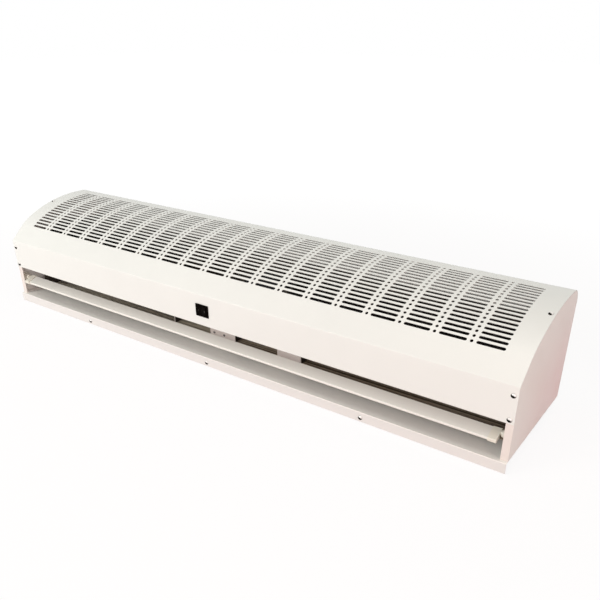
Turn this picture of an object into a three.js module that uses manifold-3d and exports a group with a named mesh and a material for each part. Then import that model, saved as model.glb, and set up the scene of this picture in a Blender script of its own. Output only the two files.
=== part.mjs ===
// Air curtain of the 1200 mm class, lying on its wall side, in millimetres, +Z up.
// X runs along the unit, Y from the outlet face to the back, Z away from the wall.
// While it is modelled, y = 0 is the front face and z = 0 is the wall; the last
// lines move the whole unit so that the middle of its underside is the origin.

import * as THREE from 'three';
import { mergeVertices } from 'three/addons/utils/BufferGeometryUtils.js';
import Module from 'manifold-3d';

const wasm = await Module();
wasm.setup();

// ---------------------------------------------------------------- dimensions

// Sheet metal
const unitLength = 1204;        // over the outer faces of the end plates
const coverSheet = 1.0;
const plateSheet = 1.2;
const guideSheet = 1.0;         // volute, tongue and cheeks
const bracketSheet = 2.0;
const gap = 0.3;                // between pieces that touch

// Wall plate and base panel
const wallPlateSheet = 1.5;
const baseHeight = 18;          // wall to the underside of the base panel
const wallPlateInset = 40;      // shorter than the unit at each end
const wallPlateRearInset = 18;
const wallHoleDiameter = 9;
const wallHoleColumns = 3;
const wallHoleEdge = 26;        // hole centre to the edge of the plate
const lipStandOff = 4;          // lip stands in front of the front face
const lipHeight = 17.5;
const lipScrewSpacing = 350;
const baseRearFlange = 22;

// Cover profile
const outletHeight = 66;        // base panel to the lower edge of the cover
const frontFaceHeight = 63;     // lower edge to the fold line
const foldRadius = 2.5;
const slopeAngle = THREE.MathUtils.degToRad(41.5);
const slopeLength = 44;         // plain sloping band under the first row of slots
const shoulderRadius = 110;
const shoulderRows = 3;
const rearMargin = 15;
const rearCornerRadius = 28;
const coverReturn = 9;          // inward flange along the lower edge

// Perforation
const slotRows = 18;
const slotPitch = 60;
const slotEndMargin = 25;       // plain sheet at each end, at least
const rowPitch = 9.6;
const slotLength = 45;
const slotWidth = 5.4;

// End plates
const flangeWidth = 12;

// Rotor
const rotorY = 122;
const rotorHeight = 102;        // shaft above the underside of the base panel
const impellerRadius = 58;
const impellerEndClearance = 24; // to the cheek beside the end plate
const impellerBlades = 18;
const impellerBays = 2;         // blade lengths between discs
const bladeDepth = 15;          // radial depth of the blade ring
const bladeThickness = 1.4;
const bladeSweep = THREE.MathUtils.degToRad(16);
const discThickness = 2.5;
const hubRadius = 13;
const hubLength = 20;
const shaftRadius = 6;
const axleEndPlay = 1.5;
const openRingDepth = 18;       // radial depth of the ring between two blade lengths
const bayHalfLength = 167;      // middle of the unit to each cheek of the motor bay
const cheekClearance = 12;      // cheek to the impeller

// Airway
const voluteLipRadius = 66;     // start of the spiral, at its smallest
const voluteStartAngle = THREE.MathUtils.degToRad(35);
const voluteFrontY = 54;
const bayCheekFrontY = 78;
const tongueShelfDepth = 42;
const tongueClearance = 6;
const tongueHeight = 14;
const tongueNoseFrom = THREE.MathUtils.degToRad(200);
const tongueNoseTo = THREE.MathUtils.degToRad(176);
const seatHoleClearance = 4;    // cheek to the bearing seat
const shaftHoleRadius = 24;

// Motor
const motorX = 58;
const motorRadius = 44;
const motorLength = 94;
const motorBossRadius = 16;
const motorBossLength = 9;
const motorNoseRound = 16;      // length of each rounded end
const ringThickness = 7;
const clampWidth = 8;
const bracketFootDepth = 38;
const leftFootLength = 65;      // the right foot reaches to the cheek beside it
const bracketFrontHeight = 26;  // the foot is turned up along its front edge
const bracketNeck = 30;         // half width of the upright at the shaft

// Bearings
const bearingRadius = 16;
const bearingWidth = 10;
const seatRadius = 26;
const seatFlangeRadius = 34;
const seatFlangeThickness = 2;
const seatTaper = 2;            // how much smaller the mouth is than the root

// Outlet vane
const pivotY = 14;
const pivotHeight = 39;         // pivot above the underside of the base panel
const vaneTilt = THREE.MathUtils.degToRad(20);
const vaneFront = 17;           // pivot to the front edge, along the blade
const vaneRear = 6.5;
const vaneSheet = 1.4;
const vaneHem = 4.6;
const vaneAbovePivot = 0.6;     // top face of the blade above the pivot
const capLength = 14;
const capThickness = 8;
const capWall = 1.6;
const capRound = 1.5;           // chamfer along the long edges of the cap
const vaneEndClearance = 20.5;  // outer face of the unit to the outer face of the cap
const pinRadius = 3;
const pinLength = 8;
const bushRadius = 6;
const bushGap = 2.5;            // cap to bush
const bushFlangeRadius = 9;
const bushFlangeThickness = 3;

// Rocker switch on the front face
const switchX = -4;
const switchHeight = 97.5;      // centre above the underside of the base panel
const switchLength = 31.8;
const switchWidth = 24.8;
const switchRim = 1.8;
const switchProud = 1.6;
const switchBodyDepth = 22;
const switchWall = 2.2;
const rockerDepth = 9;
const rockerSwing = 0.8;        // room at each end of the rocker for its swing
const rockerDip = 1.3;          // how far the middle of the rocker lies below its ends
const rockerPivotDepth = 4;
const rockerPinRadius = 1.5;
const rockerProud = 1;          // pads in front of the bezel
const rockerKeel = 3;           // half width of the rocker at its foot
const switchTabLength = 6.3;
const switchTabWidth = 4.8;
const switchTabPitch = 8;
const tabThickness = 0.8;

// Electrical box behind the front face
const boxX = -150;
const boxLength = 108;
const boxDepth = 34;
const boxHeight = 44;
const boxWall = 1.8;
const lidRim = 4;
const boxMargin = 3;            // wall of the box to what it holds
const capacitorSize = [46, 22, 30];
const terminalSize = [40, 16, 18];
const terminalWays = 4;
const grommetX = -120;
const grommetY = 200;
const grommetRadius = 9;
const grommetWall = 2.4;

// Pan-head screws
const screwHeadRadius = 3.6;
const screwHeadHeight = 2.2;
const screwShankRadius = 1.6;
const screwReach = 5;           // length of the shank
const screwCrown = 0.6;         // flat top of the head, as a share of its radius
const screwInset = 7.5;         // from the end of the unit
const lowerScrewRise = 7;       // above the lower edge of the cover
const upperScrewDrop = 15.5;    // below the fold line
const lipScrewDrop = 10;        // below the base panel
const crownScrewRow = 9;        // row of slots that the crown screw lines up with

// Roundness of turned pieces
const roundSides = 16;
const smallSides = 8;
const bushSides = 12;
const discSides = 18;

// ---------------------------------------------------------------- finishes

const finishes = {
  cover: { color: 0xf3ece4, roughness: 0.42, metalness: 0.1 },
  panel: { color: 0xe9e0d8, roughness: 0.45, metalness: 0.1 },
  galvanised: { color: 0x9a9a94, roughness: 0.5, metalness: 0.8 },
  airway: { color: 0x4a423a, roughness: 0.7, metalness: 0.3 },
  impeller: { color: 0x26221f, roughness: 0.55, metalness: 0.4 },
  steel: { color: 0x8c8e90, roughness: 0.35, metalness: 0.9 },
  motor: { color: 0x33363a, roughness: 0.6, metalness: 0.5 },
  rubber: { color: 0x1c1c1c, roughness: 0.9, metalness: 0 },
  cream: { color: 0xe4dcc6, roughness: 0.5, metalness: 0 },
  black: { color: 0x141414, roughness: 0.4, metalness: 0 },
  grey: { color: 0xb9bbb8, roughness: 0.55, metalness: 0 },
};

// ---------------------------------------------------------------- worked-out sizes

const halfLength = unitLength / 2;
const slotColumns = Math.floor((unitLength - 2 * slotEndMargin) / slotPitch);
const baseTop = baseHeight + plateSheet;
const outletTop = baseHeight + outletHeight;
const rotorZ = baseHeight + rotorHeight;
const pivotZ = baseHeight + pivotHeight;
const switchZ = baseHeight + switchHeight;
const innerHalf = halfLength - plateSheet;         // inner face of the end plates
const betweenFlanges = halfLength - flangeWidth - gap;
const guideHalf = betweenFlanges - gap;
const impellerInner = bayHalfLength + guideSheet + cheekClearance;
const voluteFloor = baseTop + gap;
const cheekOuter = guideHalf - gap;
const impellerOuter = cheekOuter - guideSheet - impellerEndClearance;

// ---------------------------------------------------------------- solids

const AXES_ALONG_X = new THREE.Matrix4().makeBasis(
  new THREE.Vector3(0, 1, 0), new THREE.Vector3(0, 0, 1), new THREE.Vector3(1, 0, 0));

function toSolid(geometry) {
  const bare = geometry.clone();
  bare.deleteAttribute('normal');
  bare.deleteAttribute('uv');
  const merged = mergeVertices(bare, 1e-4);
  return new wasm.Manifold(new wasm.Mesh({
    numProp: 3,
    vertProperties: new Float32Array(merged.attributes.position.array),
    triVerts: new Uint32Array(merged.index.array),
  }));
}

function toGeometry(solid) {
  const mesh = solid.getMesh();
  const geometry = new THREE.BufferGeometry();
  geometry.setAttribute('position', new THREE.BufferAttribute(mesh.vertProperties.slice(), 3));
  geometry.setIndex(new THREE.BufferAttribute(mesh.triVerts.slice(), 1));
  geometry.computeVertexNormals();
  return geometry;
}

const join = (...solids) => solids.reduce((whole, next) => whole.add(next));
const cut = (solid, ...tools) => tools.reduce((rest, tool) => rest.subtract(tool), solid);

function box(x, y, z) {
  const geometry = new THREE.BoxGeometry(x[1] - x[0], y[1] - y[0], z[1] - z[0]);
  geometry.translate((x[0] + x[1]) / 2, (y[0] + y[1]) / 2, (z[0] + z[1]) / 2);
  return toSolid(geometry);
}

function shapeFrom(points) {
  return new THREE.Shape(points.map(([a, b]) => new THREE.Vector2(a, b)));
}

// An outline in (y, z), drawn along X from x0 to x1.
function alongX(outline, x0, x1) {
  const geometry = new THREE.ExtrudeGeometry(shapeFrom(outline), { depth: x1 - x0, bevelEnabled: false });
  geometry.applyMatrix4(AXES_ALONG_X);
  geometry.translate(x0, 0, 0);
  return toSolid(geometry);
}

// A closed profile of [x, radius] points, turned about the X direction through (y, z).
function turned(profile, y, z, sides = roundSides) {
  const closed = profile[0][1] === 0 ? profile : [...profile, profile[0]];
  const points = closed.map(([x, radius]) => new THREE.Vector2(radius, x));
  const geometry = new THREE.LatheGeometry(points, sides);
  geometry.rotateZ(-Math.PI / 2);
  geometry.translate(0, y, z);
  return toSolid(geometry);
}

function tube(x0, x1, outer, inner, y, z, sides = roundSides) {
  return turned([[x0, inner], [x0, outer], [x1, outer], [x1, inner]], y, z, sides);
}

function rod(x0, x1, radius, y, z, sides = roundSides) {
  return turned([[x0, 0], [x0, radius], [x1, radius], [x1, 0]], y, z, sides);
}

// ---------------------------------------------------------------- outlines

// Shifts an open path to its right-hand side by a distance, with mitred corners.
function offsetPath(path, distance) {
  return path.map((point, i) => {
    const before = path[Math.max(i - 1, 0)];
    const after = path[Math.min(i + 1, path.length - 1)];
    const into = i === 0 ? direction(point, after) : direction(before, point);
    const out = i === path.length - 1 ? into : direction(point, after);
    const half = (out - into) / 2;
    const normal = into + half - Math.PI / 2;
    const reach = distance / Math.cos(half);
    return [point[0] + reach * Math.cos(normal), point[1] + reach * Math.sin(normal)];
  });
}

const direction = (a, b) => Math.atan2(b[1] - a[1], b[0] - a[0]);
const ahead = ([y, z], heading, length) => [y + length * Math.cos(heading), z + length * Math.sin(heading)];

// A strip of sheet metal whose outer side follows a path.
function sheetOutline(path, thickness) {
  return [...path, ...offsetPath(path, thickness).reverse()];
}

function arc([y, z], radius, from, to, steps) {
  return Array.from({ length: steps + 1 }, (_, i) => {
    const angle = from + (to - from) * i / steps;
    return [y + radius * Math.cos(angle), z + radius * Math.sin(angle)];
  });
}

// The crown: one flat facet per row of slots. The shoulder turns at its own radius,
// and the rows behind it share the rest of the turn, so the last row lies level.
function crownFacets(start) {
  const crownRows = slotRows - shoulderRows;
  const shoulderTurn = rowPitch / shoulderRadius;
  const levelTurn = (slopeAngle - shoulderTurn * shoulderRows) / crownRows;
  const facets = [];
  let heading = slopeAngle;
  let from = start;
  for (let row = 0; row < slotRows; row++) {
    heading -= row < shoulderRows ? shoulderTurn : levelTurn;
    const to = ahead(from, heading, rowPitch);
    facets.push({ from, to, heading });
    from = to;
  }
  return facets;
}

const foldSteps = 2;
const cornerSteps = 5;
const foldLine = outletTop + frontFaceHeight;
const foldCentre = [foldRadius, foldLine - foldRadius * Math.tan(Math.PI / 4 - slopeAngle / 2)];
const foldArc = arc(foldCentre, foldRadius, Math.PI, Math.PI / 2 + slopeAngle, foldSteps);
const slopeTop = ahead(foldArc.at(-1), slopeAngle, slopeLength);
const facets = crownFacets(slopeTop);
const crownEnd = facets.at(-1).to;
const bodyDepth = crownEnd[0] + rearMargin + rearCornerRadius;
const bodyTop = crownEnd[1];
const rearCorner = arc([bodyDepth - rearCornerRadius, bodyTop - rearCornerRadius], rearCornerRadius,
  Math.PI / 2, 0, cornerSteps);

// The outer face of the cover, from its lower front edge over the crown to the back wall's foot.
function coverPath(frontFoot, backFoot) {
  const crown = facets.map((facet) => facet.to);
  return [[0, frontFoot], ...foldArc, slopeTop, ...crown, ...rearCorner, [bodyDepth, backFoot]];
}

const wallInside = coverSheet + gap;               // cover's outer face to what lies inside it

// ---------------------------------------------------------------- housing

function slotCutter(facet, column) {
  const geometry = new THREE.BoxGeometry(slotLength, slotWidth, 6 * coverSheet);
  geometry.rotateX(facet.heading);
  geometry.translate((column - (slotColumns - 1) / 2) * slotPitch,
    (facet.from[0] + facet.to[0]) / 2, (facet.from[1] + facet.to[1]) / 2);
  return toSolid(geometry);
}

function grilleCover() {
  const path = coverPath(outletTop, baseTop + gap);
  const wrap = alongX(sheetOutline(path, coverSheet), -halfLength, halfLength);
  const lowerReturn = box([-betweenFlanges, betweenFlanges],
    [coverSheet / 2, coverReturn], [outletTop, outletTop + coverSheet]);
  const cutters = facets.flatMap((facet) =>
    Array.from({ length: slotColumns }, (_, column) => slotCutter(facet, column)));
  const switchHole = box(
    [switchX - switchLength / 2 + switchRim - gap, switchX + switchLength / 2 - switchRim + gap],
    [-coverSheet, 2 * coverSheet],
    [switchZ - switchWidth / 2 + switchRim - gap, switchZ + switchWidth / 2 - switchRim + gap]);
  const holes = coverScrews.map((place) => screwSolid(place, screwShankRadius + gap, 0));
  return cut(join(wrap, lowerReturn), wasm.Manifold.union(cutters), switchHole, ...holes);
}

// A flat plate with a flange turned in all round its outline.
function endPlate(side) {
  const foot = baseTop + gap;
  const outer = offsetPath(coverPath(foot - wallInside, foot - wallInside), wallInside);
  outer[0] = [wallInside, foot];
  outer[outer.length - 1] = [bodyDepth - wallInside, foot];
  const closed = [...outer, outer[0]];
  const inner = offsetPath(closed, plateSheet).slice(0, -1);
  inner[0] = [wallInside + plateSheet, foot + plateSheet];
  inner[inner.length - 1] = [bodyDepth - wallInside - plateSheet, foot + plateSheet];
  const face = side * halfLength;
  const root = side * (halfLength - plateSheet);
  const rim = side * (halfLength - flangeWidth);
  const body = alongX(outer, Math.min(face, rim), Math.max(face, rim));
  const hollow = alongX(inner, Math.min(root, rim - side), Math.max(root, rim - side));
  const holes = coverScrews.filter((place) => Math.sign(place.x) === side)
    .map((place) => screwSolid(place, screwShankRadius + gap, 0));
  return cut(body, hollow, ...holes);
}

function basePanel() {
  const lipFace = -lipStandOff;
  const section = [
    [lipFace, baseTop], [bodyDepth - wallInside, baseTop], [bodyDepth - wallInside, baseHeight],
    [lipFace + plateSheet, baseHeight], [lipFace + plateSheet, baseHeight - lipHeight],
    [lipFace, baseHeight - lipHeight],
  ];
  const panel = alongX(section.reverse(), -halfLength, halfLength);
  const upstand = box([-betweenFlanges, betweenFlanges],
    [bodyDepth - wallInside - plateSheet, bodyDepth - wallInside], [baseHeight, baseTop + baseRearFlange]);
  const cableHole = holeThroughFloor(grommetX, grommetY, grommetRadius + gap);
  const holes = lipScrews.map((place) => screwSolid(place, screwShankRadius + gap, 0));
  return cut(join(panel, upstand), cableHole, ...holes);
}

function holeThroughFloor(x, y, radius, sides = smallSides) {
  const geometry = new THREE.CylinderGeometry(radius, radius, 3 * baseHeight, sides);
  geometry.rotateX(Math.PI / 2);
  geometry.translate(x, y, 0);
  return toSolid(geometry);
}

// The shallow tray that is fixed to the wall; the unit hangs on it and is screwed to it through the lip.
function wallPlate() {
  const half = halfLength - wallPlateInset;
  const front = -lipStandOff + plateSheet + gap;
  const back = bodyDepth - wallPlateRearInset;
  const top = baseHeight - gap;
  const tray = cut(
    box([-half, half], [front, back], [0, top]),
    box([-half + wallPlateSheet, half - wallPlateSheet],
      [front + wallPlateSheet, back - wallPlateSheet], [wallPlateSheet, top + baseHeight]));
  const wallHoles = [];
  for (let column = 0; column < wallHoleColumns; column++) {
    const x = -half + wallHoleEdge + column * 2 * (half - wallHoleEdge) / (wallHoleColumns - 1);
    wallHoles.push(holeThroughFloor(x, front + wallHoleEdge, wallHoleDiameter / 2));
    wallHoles.push(holeThroughFloor(x, back - wallHoleEdge, wallHoleDiameter / 2));
  }
  const cableHole = holeThroughFloor(grommetX, grommetY, grommetRadius + grommetWall + gap);
  const screwHoles = lipScrews.map((place) => screwSolid(place, screwShankRadius + gap, 0));
  return cut(tray, ...wallHoles, cableHole, ...screwHoles);
}

// ---------------------------------------------------------------- screws

// Each place holds the point under the head and the direction that the head faces, in (y, z).
function coverScrewPlaces(side) {
  const x = side * (halfLength - screwInset);
  const facet = facets[crownScrewRow];
  return [
    { name: 'lower', x, at: [0, outletTop + lowerScrewRise], facing: Math.PI },
    { name: 'upper', x, at: [0, foldLine - upperScrewDrop], facing: Math.PI },
    { name: 'crown', x, at: facet.to, facing: facet.heading + Math.PI / 2 },
  ];
}

const coverScrews = [-1, 1].flatMap(coverScrewPlaces);
const lipScrews = [-1, 0, 1].map((step) => (
  { x: step * lipScrewSpacing, at: [-lipStandOff, baseHeight - lipScrewDrop], facing: Math.PI }));

// A round-headed screw; with no head height, the plain cutter for its hole.
function screwSolid(place, shank, headHeight) {
  const profile = headHeight === 0
    ? [[-screwReach, 0], [-screwReach, shank], [screwReach, shank], [screwReach, 0]]
    : [[-screwReach, 0], [-screwReach, shank], [gap / 2, shank], [gap / 2, screwHeadRadius],
      [headHeight, screwHeadRadius * screwCrown], [headHeight, 0]];
  const points = profile.map(([along, radius]) => new THREE.Vector2(radius, along));
  const geometry = new THREE.LatheGeometry(points, smallSides);
  geometry.rotateX(place.facing);
  geometry.translate(place.x, ...place.at);
  return toSolid(geometry);
}

// ---------------------------------------------------------------- airway

const voluteEndRadius = rotorZ - voluteFloor - guideSheet;
const voluteRate = Math.log(voluteEndRadius / voluteLipRadius) / (voluteStartAngle + Math.PI / 2);

// The inner face of the spiral, from its lip behind the crown down to the outlet floor.
function voluteSpiral(steps, clearance = 0) {
  return Array.from({ length: steps + 1 }, (_, i) => {
    const angle = voluteStartAngle - (voluteStartAngle + Math.PI / 2) * i / steps;
    const radius = voluteLipRadius * Math.exp(voluteRate * (voluteStartAngle - angle)) - clearance;
    return [rotorY + radius * Math.cos(angle), rotorZ + radius * Math.sin(angle)];
  });
}

function volute() {
  const spiral = voluteSpiral(14);
  const shelfBack = [bodyDepth - wallInside, spiral[0][1]];
  const path = [shelfBack, ...spiral, [voluteFrontY, voluteFloor + guideSheet]];
  return alongX(sheetOutline(path.reverse(), guideSheet), -guideHalf, guideHalf);
}

// The cut-off: a shelf behind the lower edge of the cover that turns up along the impeller.
function tongue() {
  const reach = impellerRadius + tongueClearance;
  const low = outletTop + coverSheet + gap;
  const nose = arc([rotorY, rotorZ], reach, tongueNoseFrom, tongueNoseTo, 3);
  const path = [[wallInside, low + tongueHeight], [wallInside, low], [tongueShelfDepth, low], ...nose];
  const half = guideHalf - plateSheet - gap;
  return alongX(sheetOutline(path, -guideSheet), -half, half);
}

// A flat wall across the airway, with its edge on the spiral and a hole for the shaft.
function cheek(x, frontY, holeRadius) {
  const spiral = voluteSpiral(10, gap).reverse();
  const floor = voluteFloor + guideSheet + gap;
  const top = spiral.at(-1)[1];
  const outline = [[frontY, floor], ...spiral, [frontY, top]];
  const wall = alongX(outline, x, x + guideSheet);
  return cut(wall, rod(x - guideSheet, x + 2 * guideSheet, holeRadius, rotorY, rotorZ, smallSides * 2));
}

// ---------------------------------------------------------------- rotor

function bladeOutline(index) {
  const start = 2 * Math.PI * index / impellerBlades;
  const outer = impellerRadius - bladeThickness;
  const stations = [0, 0.5, 1].map((t) => {
    const radius = outer - bladeDepth * t;
    const angle = start + bladeSweep * t * t;
    return [rotorY + radius * Math.cos(angle), rotorZ + radius * Math.sin(angle)];
  });
  return sheetOutline(stations, bladeThickness);
}

// Forward-curved blades between discs, with a hub at each end disc.
function impeller(from, to) {
  const blades = Array.from({ length: impellerBlades },
    (_, i) => alongX(bladeOutline(i), from + gap, to - gap));
  const discs = [];
  const discRadius = impellerRadius / Math.cos(Math.PI / discSides);
  for (let i = 0; i <= impellerBays; i++) {
    const x = from + (to - from - discThickness) * i / impellerBays;
    const open = i > 0 && i < impellerBays;
    discs.push(open
      ? tube(x, x + discThickness, discRadius, impellerRadius - openRingDepth, rotorY, rotorZ, discSides)
      : rod(x, x + discThickness, discRadius, rotorY, rotorZ, discSides));
  }
  const hubs = [rod(from, from + hubLength, hubRadius, rotorY, rotorZ, smallSides),
    rod(to - hubLength, to, hubRadius, rotorY, rotorZ, smallSides)];
  const bore = shaftRadius + gap;
  return cut(join(wasm.Manifold.union(blades), ...discs, ...hubs),
    rod(from - 1, from + hubLength + 1, bore, rotorY, rotorZ, smallSides),
    rod(to - hubLength - 1, to + 1, bore, rotorY, rotorZ, smallSides));
}

function motorShaft() {
  const reach = impellerInner + hubLength;
  return rod(-reach, reach, shaftRadius, rotorY, rotorZ, smallSides);
}

function axle(side) {
  const inner = side * (impellerOuter - hubLength);
  const outer = side * (innerHalf - seatFlangeThickness - axleEndPlay);
  return rod(Math.min(inner, outer), Math.max(inner, outer), shaftRadius, rotorY, rotorZ, smallSides);
}

// ---------------------------------------------------------------- motor

const motorFrom = motorX - motorLength / 2;
const motorTo = motorX + motorLength / 2;
const ringOuter = motorBossRadius + gap + ringThickness;

function motorHousing() {
  const bore = shaftRadius + 1;
  const round = [0.2, 0.56, 1].map((t) => [motorNoseRound * t,
    motorBossRadius + (motorRadius - motorBossRadius) * Math.sqrt(1 - (1 - t) ** 2)]);
  const profile = [
    [motorFrom - motorBossLength, bore], [motorFrom - motorBossLength, motorBossRadius],
    [motorFrom, motorBossRadius], ...round.map(([x, radius]) => [motorFrom + x, radius]),
    ...round.reverse().map(([x, radius]) => [motorTo - x, radius]), [motorTo, motorBossRadius],
    [motorTo + motorBossLength, motorBossRadius], [motorTo + motorBossLength, bore],
  ];
  return turned(profile, rotorY, rotorZ);
}

function bossStart(side) {
  return side < 0 ? motorFrom - motorBossLength : motorTo + motorBossLength - clampWidth;
}

function motorRing(side) {
  const x = bossStart(side);
  return tube(x, x + clampWidth, ringOuter, motorBossRadius + gap, rotorY, rotorZ);
}

// An upright with a half-round saddle under the rubber ring, on a foot that lies on the outlet
// floor and is turned up at the front.
function motorBracket(side) {
  const foot = voluteFloor + guideSheet + gap;
  const x = side < 0 ? bossStart(side) : bossStart(side) + clampWidth - bracketSheet;
  const outer = side < 0 ? x - leftFootLength : bayHalfLength - gap;
  const upright = alongX([
    [bayCheekFrontY, foot], [bayCheekFrontY + bracketFootDepth, foot],
    [rotorY + bracketNeck, rotorZ - bracketNeck], [rotorY + bracketNeck, rotorZ - gap],
    [rotorY - bracketNeck, rotorZ - gap], [bayCheekFrontY, rotorZ - 2 * bracketNeck],
  ], x, x + bracketSheet);
  const footPlate = box([Math.min(x, outer), Math.max(x + bracketSheet, outer)],
    [bayCheekFrontY, bayCheekFrontY + bracketFootDepth], [foot, foot + bracketSheet]);
  const frontPlate = box([Math.min(x, outer), Math.max(x + bracketSheet, outer)],
    [bayCheekFrontY, bayCheekFrontY + bracketSheet], [foot, foot + bracketFrontHeight]);
  const ledge = saddleBand(side, -1);
  return cut(join(upright, footPlate, frontPlate, ledge),
    rod(x - clampWidth, x + 2 * clampWidth, ringOuter + gap, rotorY, rotorZ));
}

// Half of the band that grips the rubber ring, with an ear at each side.
function saddleBand(side, half) {
  const x = bossStart(side);
  const outer = ringOuter + gap + bracketSheet;
  const full = tube(x, x + clampWidth, outer, ringOuter + gap, rotorY, rotorZ);
  const ears = box([x, x + clampWidth], [rotorY - bracketNeck, rotorY + bracketNeck],
    half < 0 ? [rotorZ - gap - bracketSheet, rotorZ - gap] : [rotorZ, rotorZ + bracketSheet]);
  const keep = box([x - 1, x + clampWidth + 1], [rotorY - 2 * outer, rotorY + 2 * outer],
    half < 0 ? [rotorZ - 2 * outer, rotorZ - gap] : [rotorZ, rotorZ + 2 * outer]);
  const bore = rod(x - 1, x + clampWidth + 1, ringOuter + gap, rotorY, rotorZ);
  return cut(join(full, ears), bore).intersect(keep);
}

// ---------------------------------------------------------------- bearings

function bearingSeat(side) {
  const wall = side * innerHalf;
  const step = (distance) => wall - side * distance;
  const pocket = seatFlangeThickness;
  const rim = seatFlangeThickness + bearingWidth + 2 * gap;
  const profile = [
    [step(gap), 0], [step(gap), seatFlangeRadius], [step(gap + seatFlangeThickness), seatFlangeRadius],
    [step(gap + seatFlangeThickness + seatTaper), seatRadius], [step(rim), seatRadius - seatTaper],
    [step(rim), bearingRadius + gap], [step(pocket + gap), bearingRadius + gap], [step(pocket + gap), 0],
  ];
  return turned(side > 0 ? profile.reverse() : profile, rotorY, rotorZ);
}

function bearing(side) {
  const far = side * (innerHalf - seatFlangeThickness - 2 * gap);
  const near = far - side * bearingWidth;
  return tube(Math.min(far, near), Math.max(far, near), bearingRadius, shaftRadius + gap, rotorY, rotorZ);
}

// ---------------------------------------------------------------- vane

// Points along and across the blade, as it lies at rest.
function onVane([along, across]) {
  return [
    pivotY + along * Math.cos(vaneTilt) - across * Math.sin(vaneTilt),
    pivotZ + along * Math.sin(vaneTilt) + across * Math.cos(vaneTilt),
  ];
}

const capOuter = halfLength - vaneEndClearance;
const capInner = capOuter - capLength;

function vaneBlade() {
  const top = vaneAbovePivot;
  const under = top - vaneSheet;
  const hemBack = -vaneFront + vaneSheet;
  const section = [
    [-vaneFront, top - vaneHem], [hemBack, top - vaneHem], [hemBack, under],
    [vaneRear, under], [vaneRear, top], [-vaneFront, top],
  ];
  return alongX(section.map(onVane), -capInner - capLength / 2, capInner + capLength / 2);
}

// A moulded cap that closes the end of the blade and carries the pin.
function vaneCap(side) {
  const top = vaneAbovePivot + capWall;
  const bottom = top - capThickness;
  const front = -vaneFront - capWall;
  const rear = vaneRear + capWall;
  const block = [
    [front + capRound, bottom], [rear - capRound, bottom], [rear, bottom + capRound], [rear, top - capRound],
    [rear - capRound, top], [front + capRound, top], [front, top - capRound], [front, bottom + capRound],
  ];
  const hemBack = -vaneFront + vaneSheet + gap;
  const hemFoot = vaneAbovePivot - vaneHem - gap;
  const under = vaneAbovePivot - vaneSheet - gap;
  const slot = [
    [-vaneFront - gap, hemFoot], [hemBack, hemFoot], [hemBack, under], [vaneRear + gap, under],
    [vaneRear + gap, vaneAbovePivot + gap], [-vaneFront - gap, vaneAbovePivot + gap],
  ];
  const near = side * capInner;
  const far = side * capOuter;
  const floor = side * (capInner + capLength / 2 + gap);
  const pinEnd = far + side * pinLength;
  const body = alongX(block.map(onVane), Math.min(near, far), Math.max(near, far));
  const pocket = alongX(slot.map(onVane), Math.min(near - side, floor), Math.max(near - side, floor));
  const [from, to] = side < 0 ? [pinEnd, far + 1] : [far - 1, pinEnd];
  const pin = rod(from, to, pinRadius, pivotY, pivotZ, smallSides);
  return join(cut(body, pocket), pin);
}

// The bush in the end plate that the pin turns in.
function vaneBush(side) {
  const wall = innerHalf - gap;
  const face = capOuter + bushGap;
  const hole = pinRadius + gap;
  const bottom = capOuter + pinLength + 2 * gap;
  const flange = wall - bushFlangeThickness;
  const profile = [
    [wall, 0], [wall, bushFlangeRadius], [flange, bushFlangeRadius], [flange, bushRadius],
    [face, bushRadius], [face, hole], [bottom, hole], [bottom, 0],
  ];
  const placed = profile.map(([x, radius]) => [side * x, radius]);
  return turned(side > 0 ? placed.reverse() : placed, pivotY, pivotZ, bushSides);
}

// ---------------------------------------------------------------- switch

function switchHousing() {
  const half = switchLength / 2;
  const side = switchWidth / 2;
  const neckX = half - switchRim;
  const neckZ = side - switchRim;
  const wellX = neckX - switchWall + gap;
  const wellZ = neckZ - switchWall + gap;
  const bezel = switchBlock(half, side, -switchProud, -gap);
  const body = switchBlock(neckX, neckZ, -switchProud / 2, switchBodyDepth);
  const well = switchBlock(wellX, wellZ, -2 * switchProud, switchBodyDepth - switchWall);
  const bearings = switchPin(rockerPinRadius + gap, neckZ - switchWall / 4);
  const tabs = [-1, 0, 1].map((step) => switchBlock(tabThickness / 2, switchTabWidth / 2,
    switchBodyDepth - switchWall / 2, switchBodyDepth + switchTabLength, step * switchTabPitch));
  return join(cut(join(bezel, body), well, bearings), ...tabs);
}

// A block on the middle of the switch, given by its half length and half width.
function switchBlock(halfX, halfZ, front, back, x = 0) {
  return box([switchX + x - halfX, switchX + x + halfX], [front, back], [switchZ - halfZ, switchZ + halfZ]);
}

function switchPin(radius, halfZ) {
  const geometry = new THREE.CylinderGeometry(radius, radius, 2 * halfZ, smallSides);
  geometry.rotateX(Math.PI / 2);
  geometry.translate(switchX, rockerPivotDepth, switchZ);
  return toSolid(geometry);
}

// Seen from above, a shallow V between the two pads; its pins turn in the housing.
function switchRocker() {
  const half = switchLength / 2 - switchRim - switchWall - rockerSwing;
  const side = switchWidth / 2 - switchRim - switchWall;
  const pad = -switchProud - rockerProud;
  const waist = half - 2 * rockerSwing;
  const outline = [
    [-half, pad + rockerSwing], [-half + rockerSwing, pad], [0, pad + rockerDip], [half - rockerSwing, pad],
    [half, pad + rockerSwing], [waist, rockerPivotDepth], [rockerKeel, rockerDepth],
    [-rockerKeel, rockerDepth], [-waist, rockerPivotDepth],
  ];
  const geometry = new THREE.ExtrudeGeometry(shapeFrom(outline), { depth: 2 * side, bevelEnabled: false });
  geometry.translate(switchX, 0, switchZ - side);
  const pins = switchPin(rockerPinRadius, side + switchWall / 2);
  return join(toSolid(geometry), pins);
}

// ---------------------------------------------------------------- electrical box

const shelfTop = outletTop + coverSheet + 2 * gap + guideSheet;
const boxFront = wallInside + guideSheet + gap;

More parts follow.
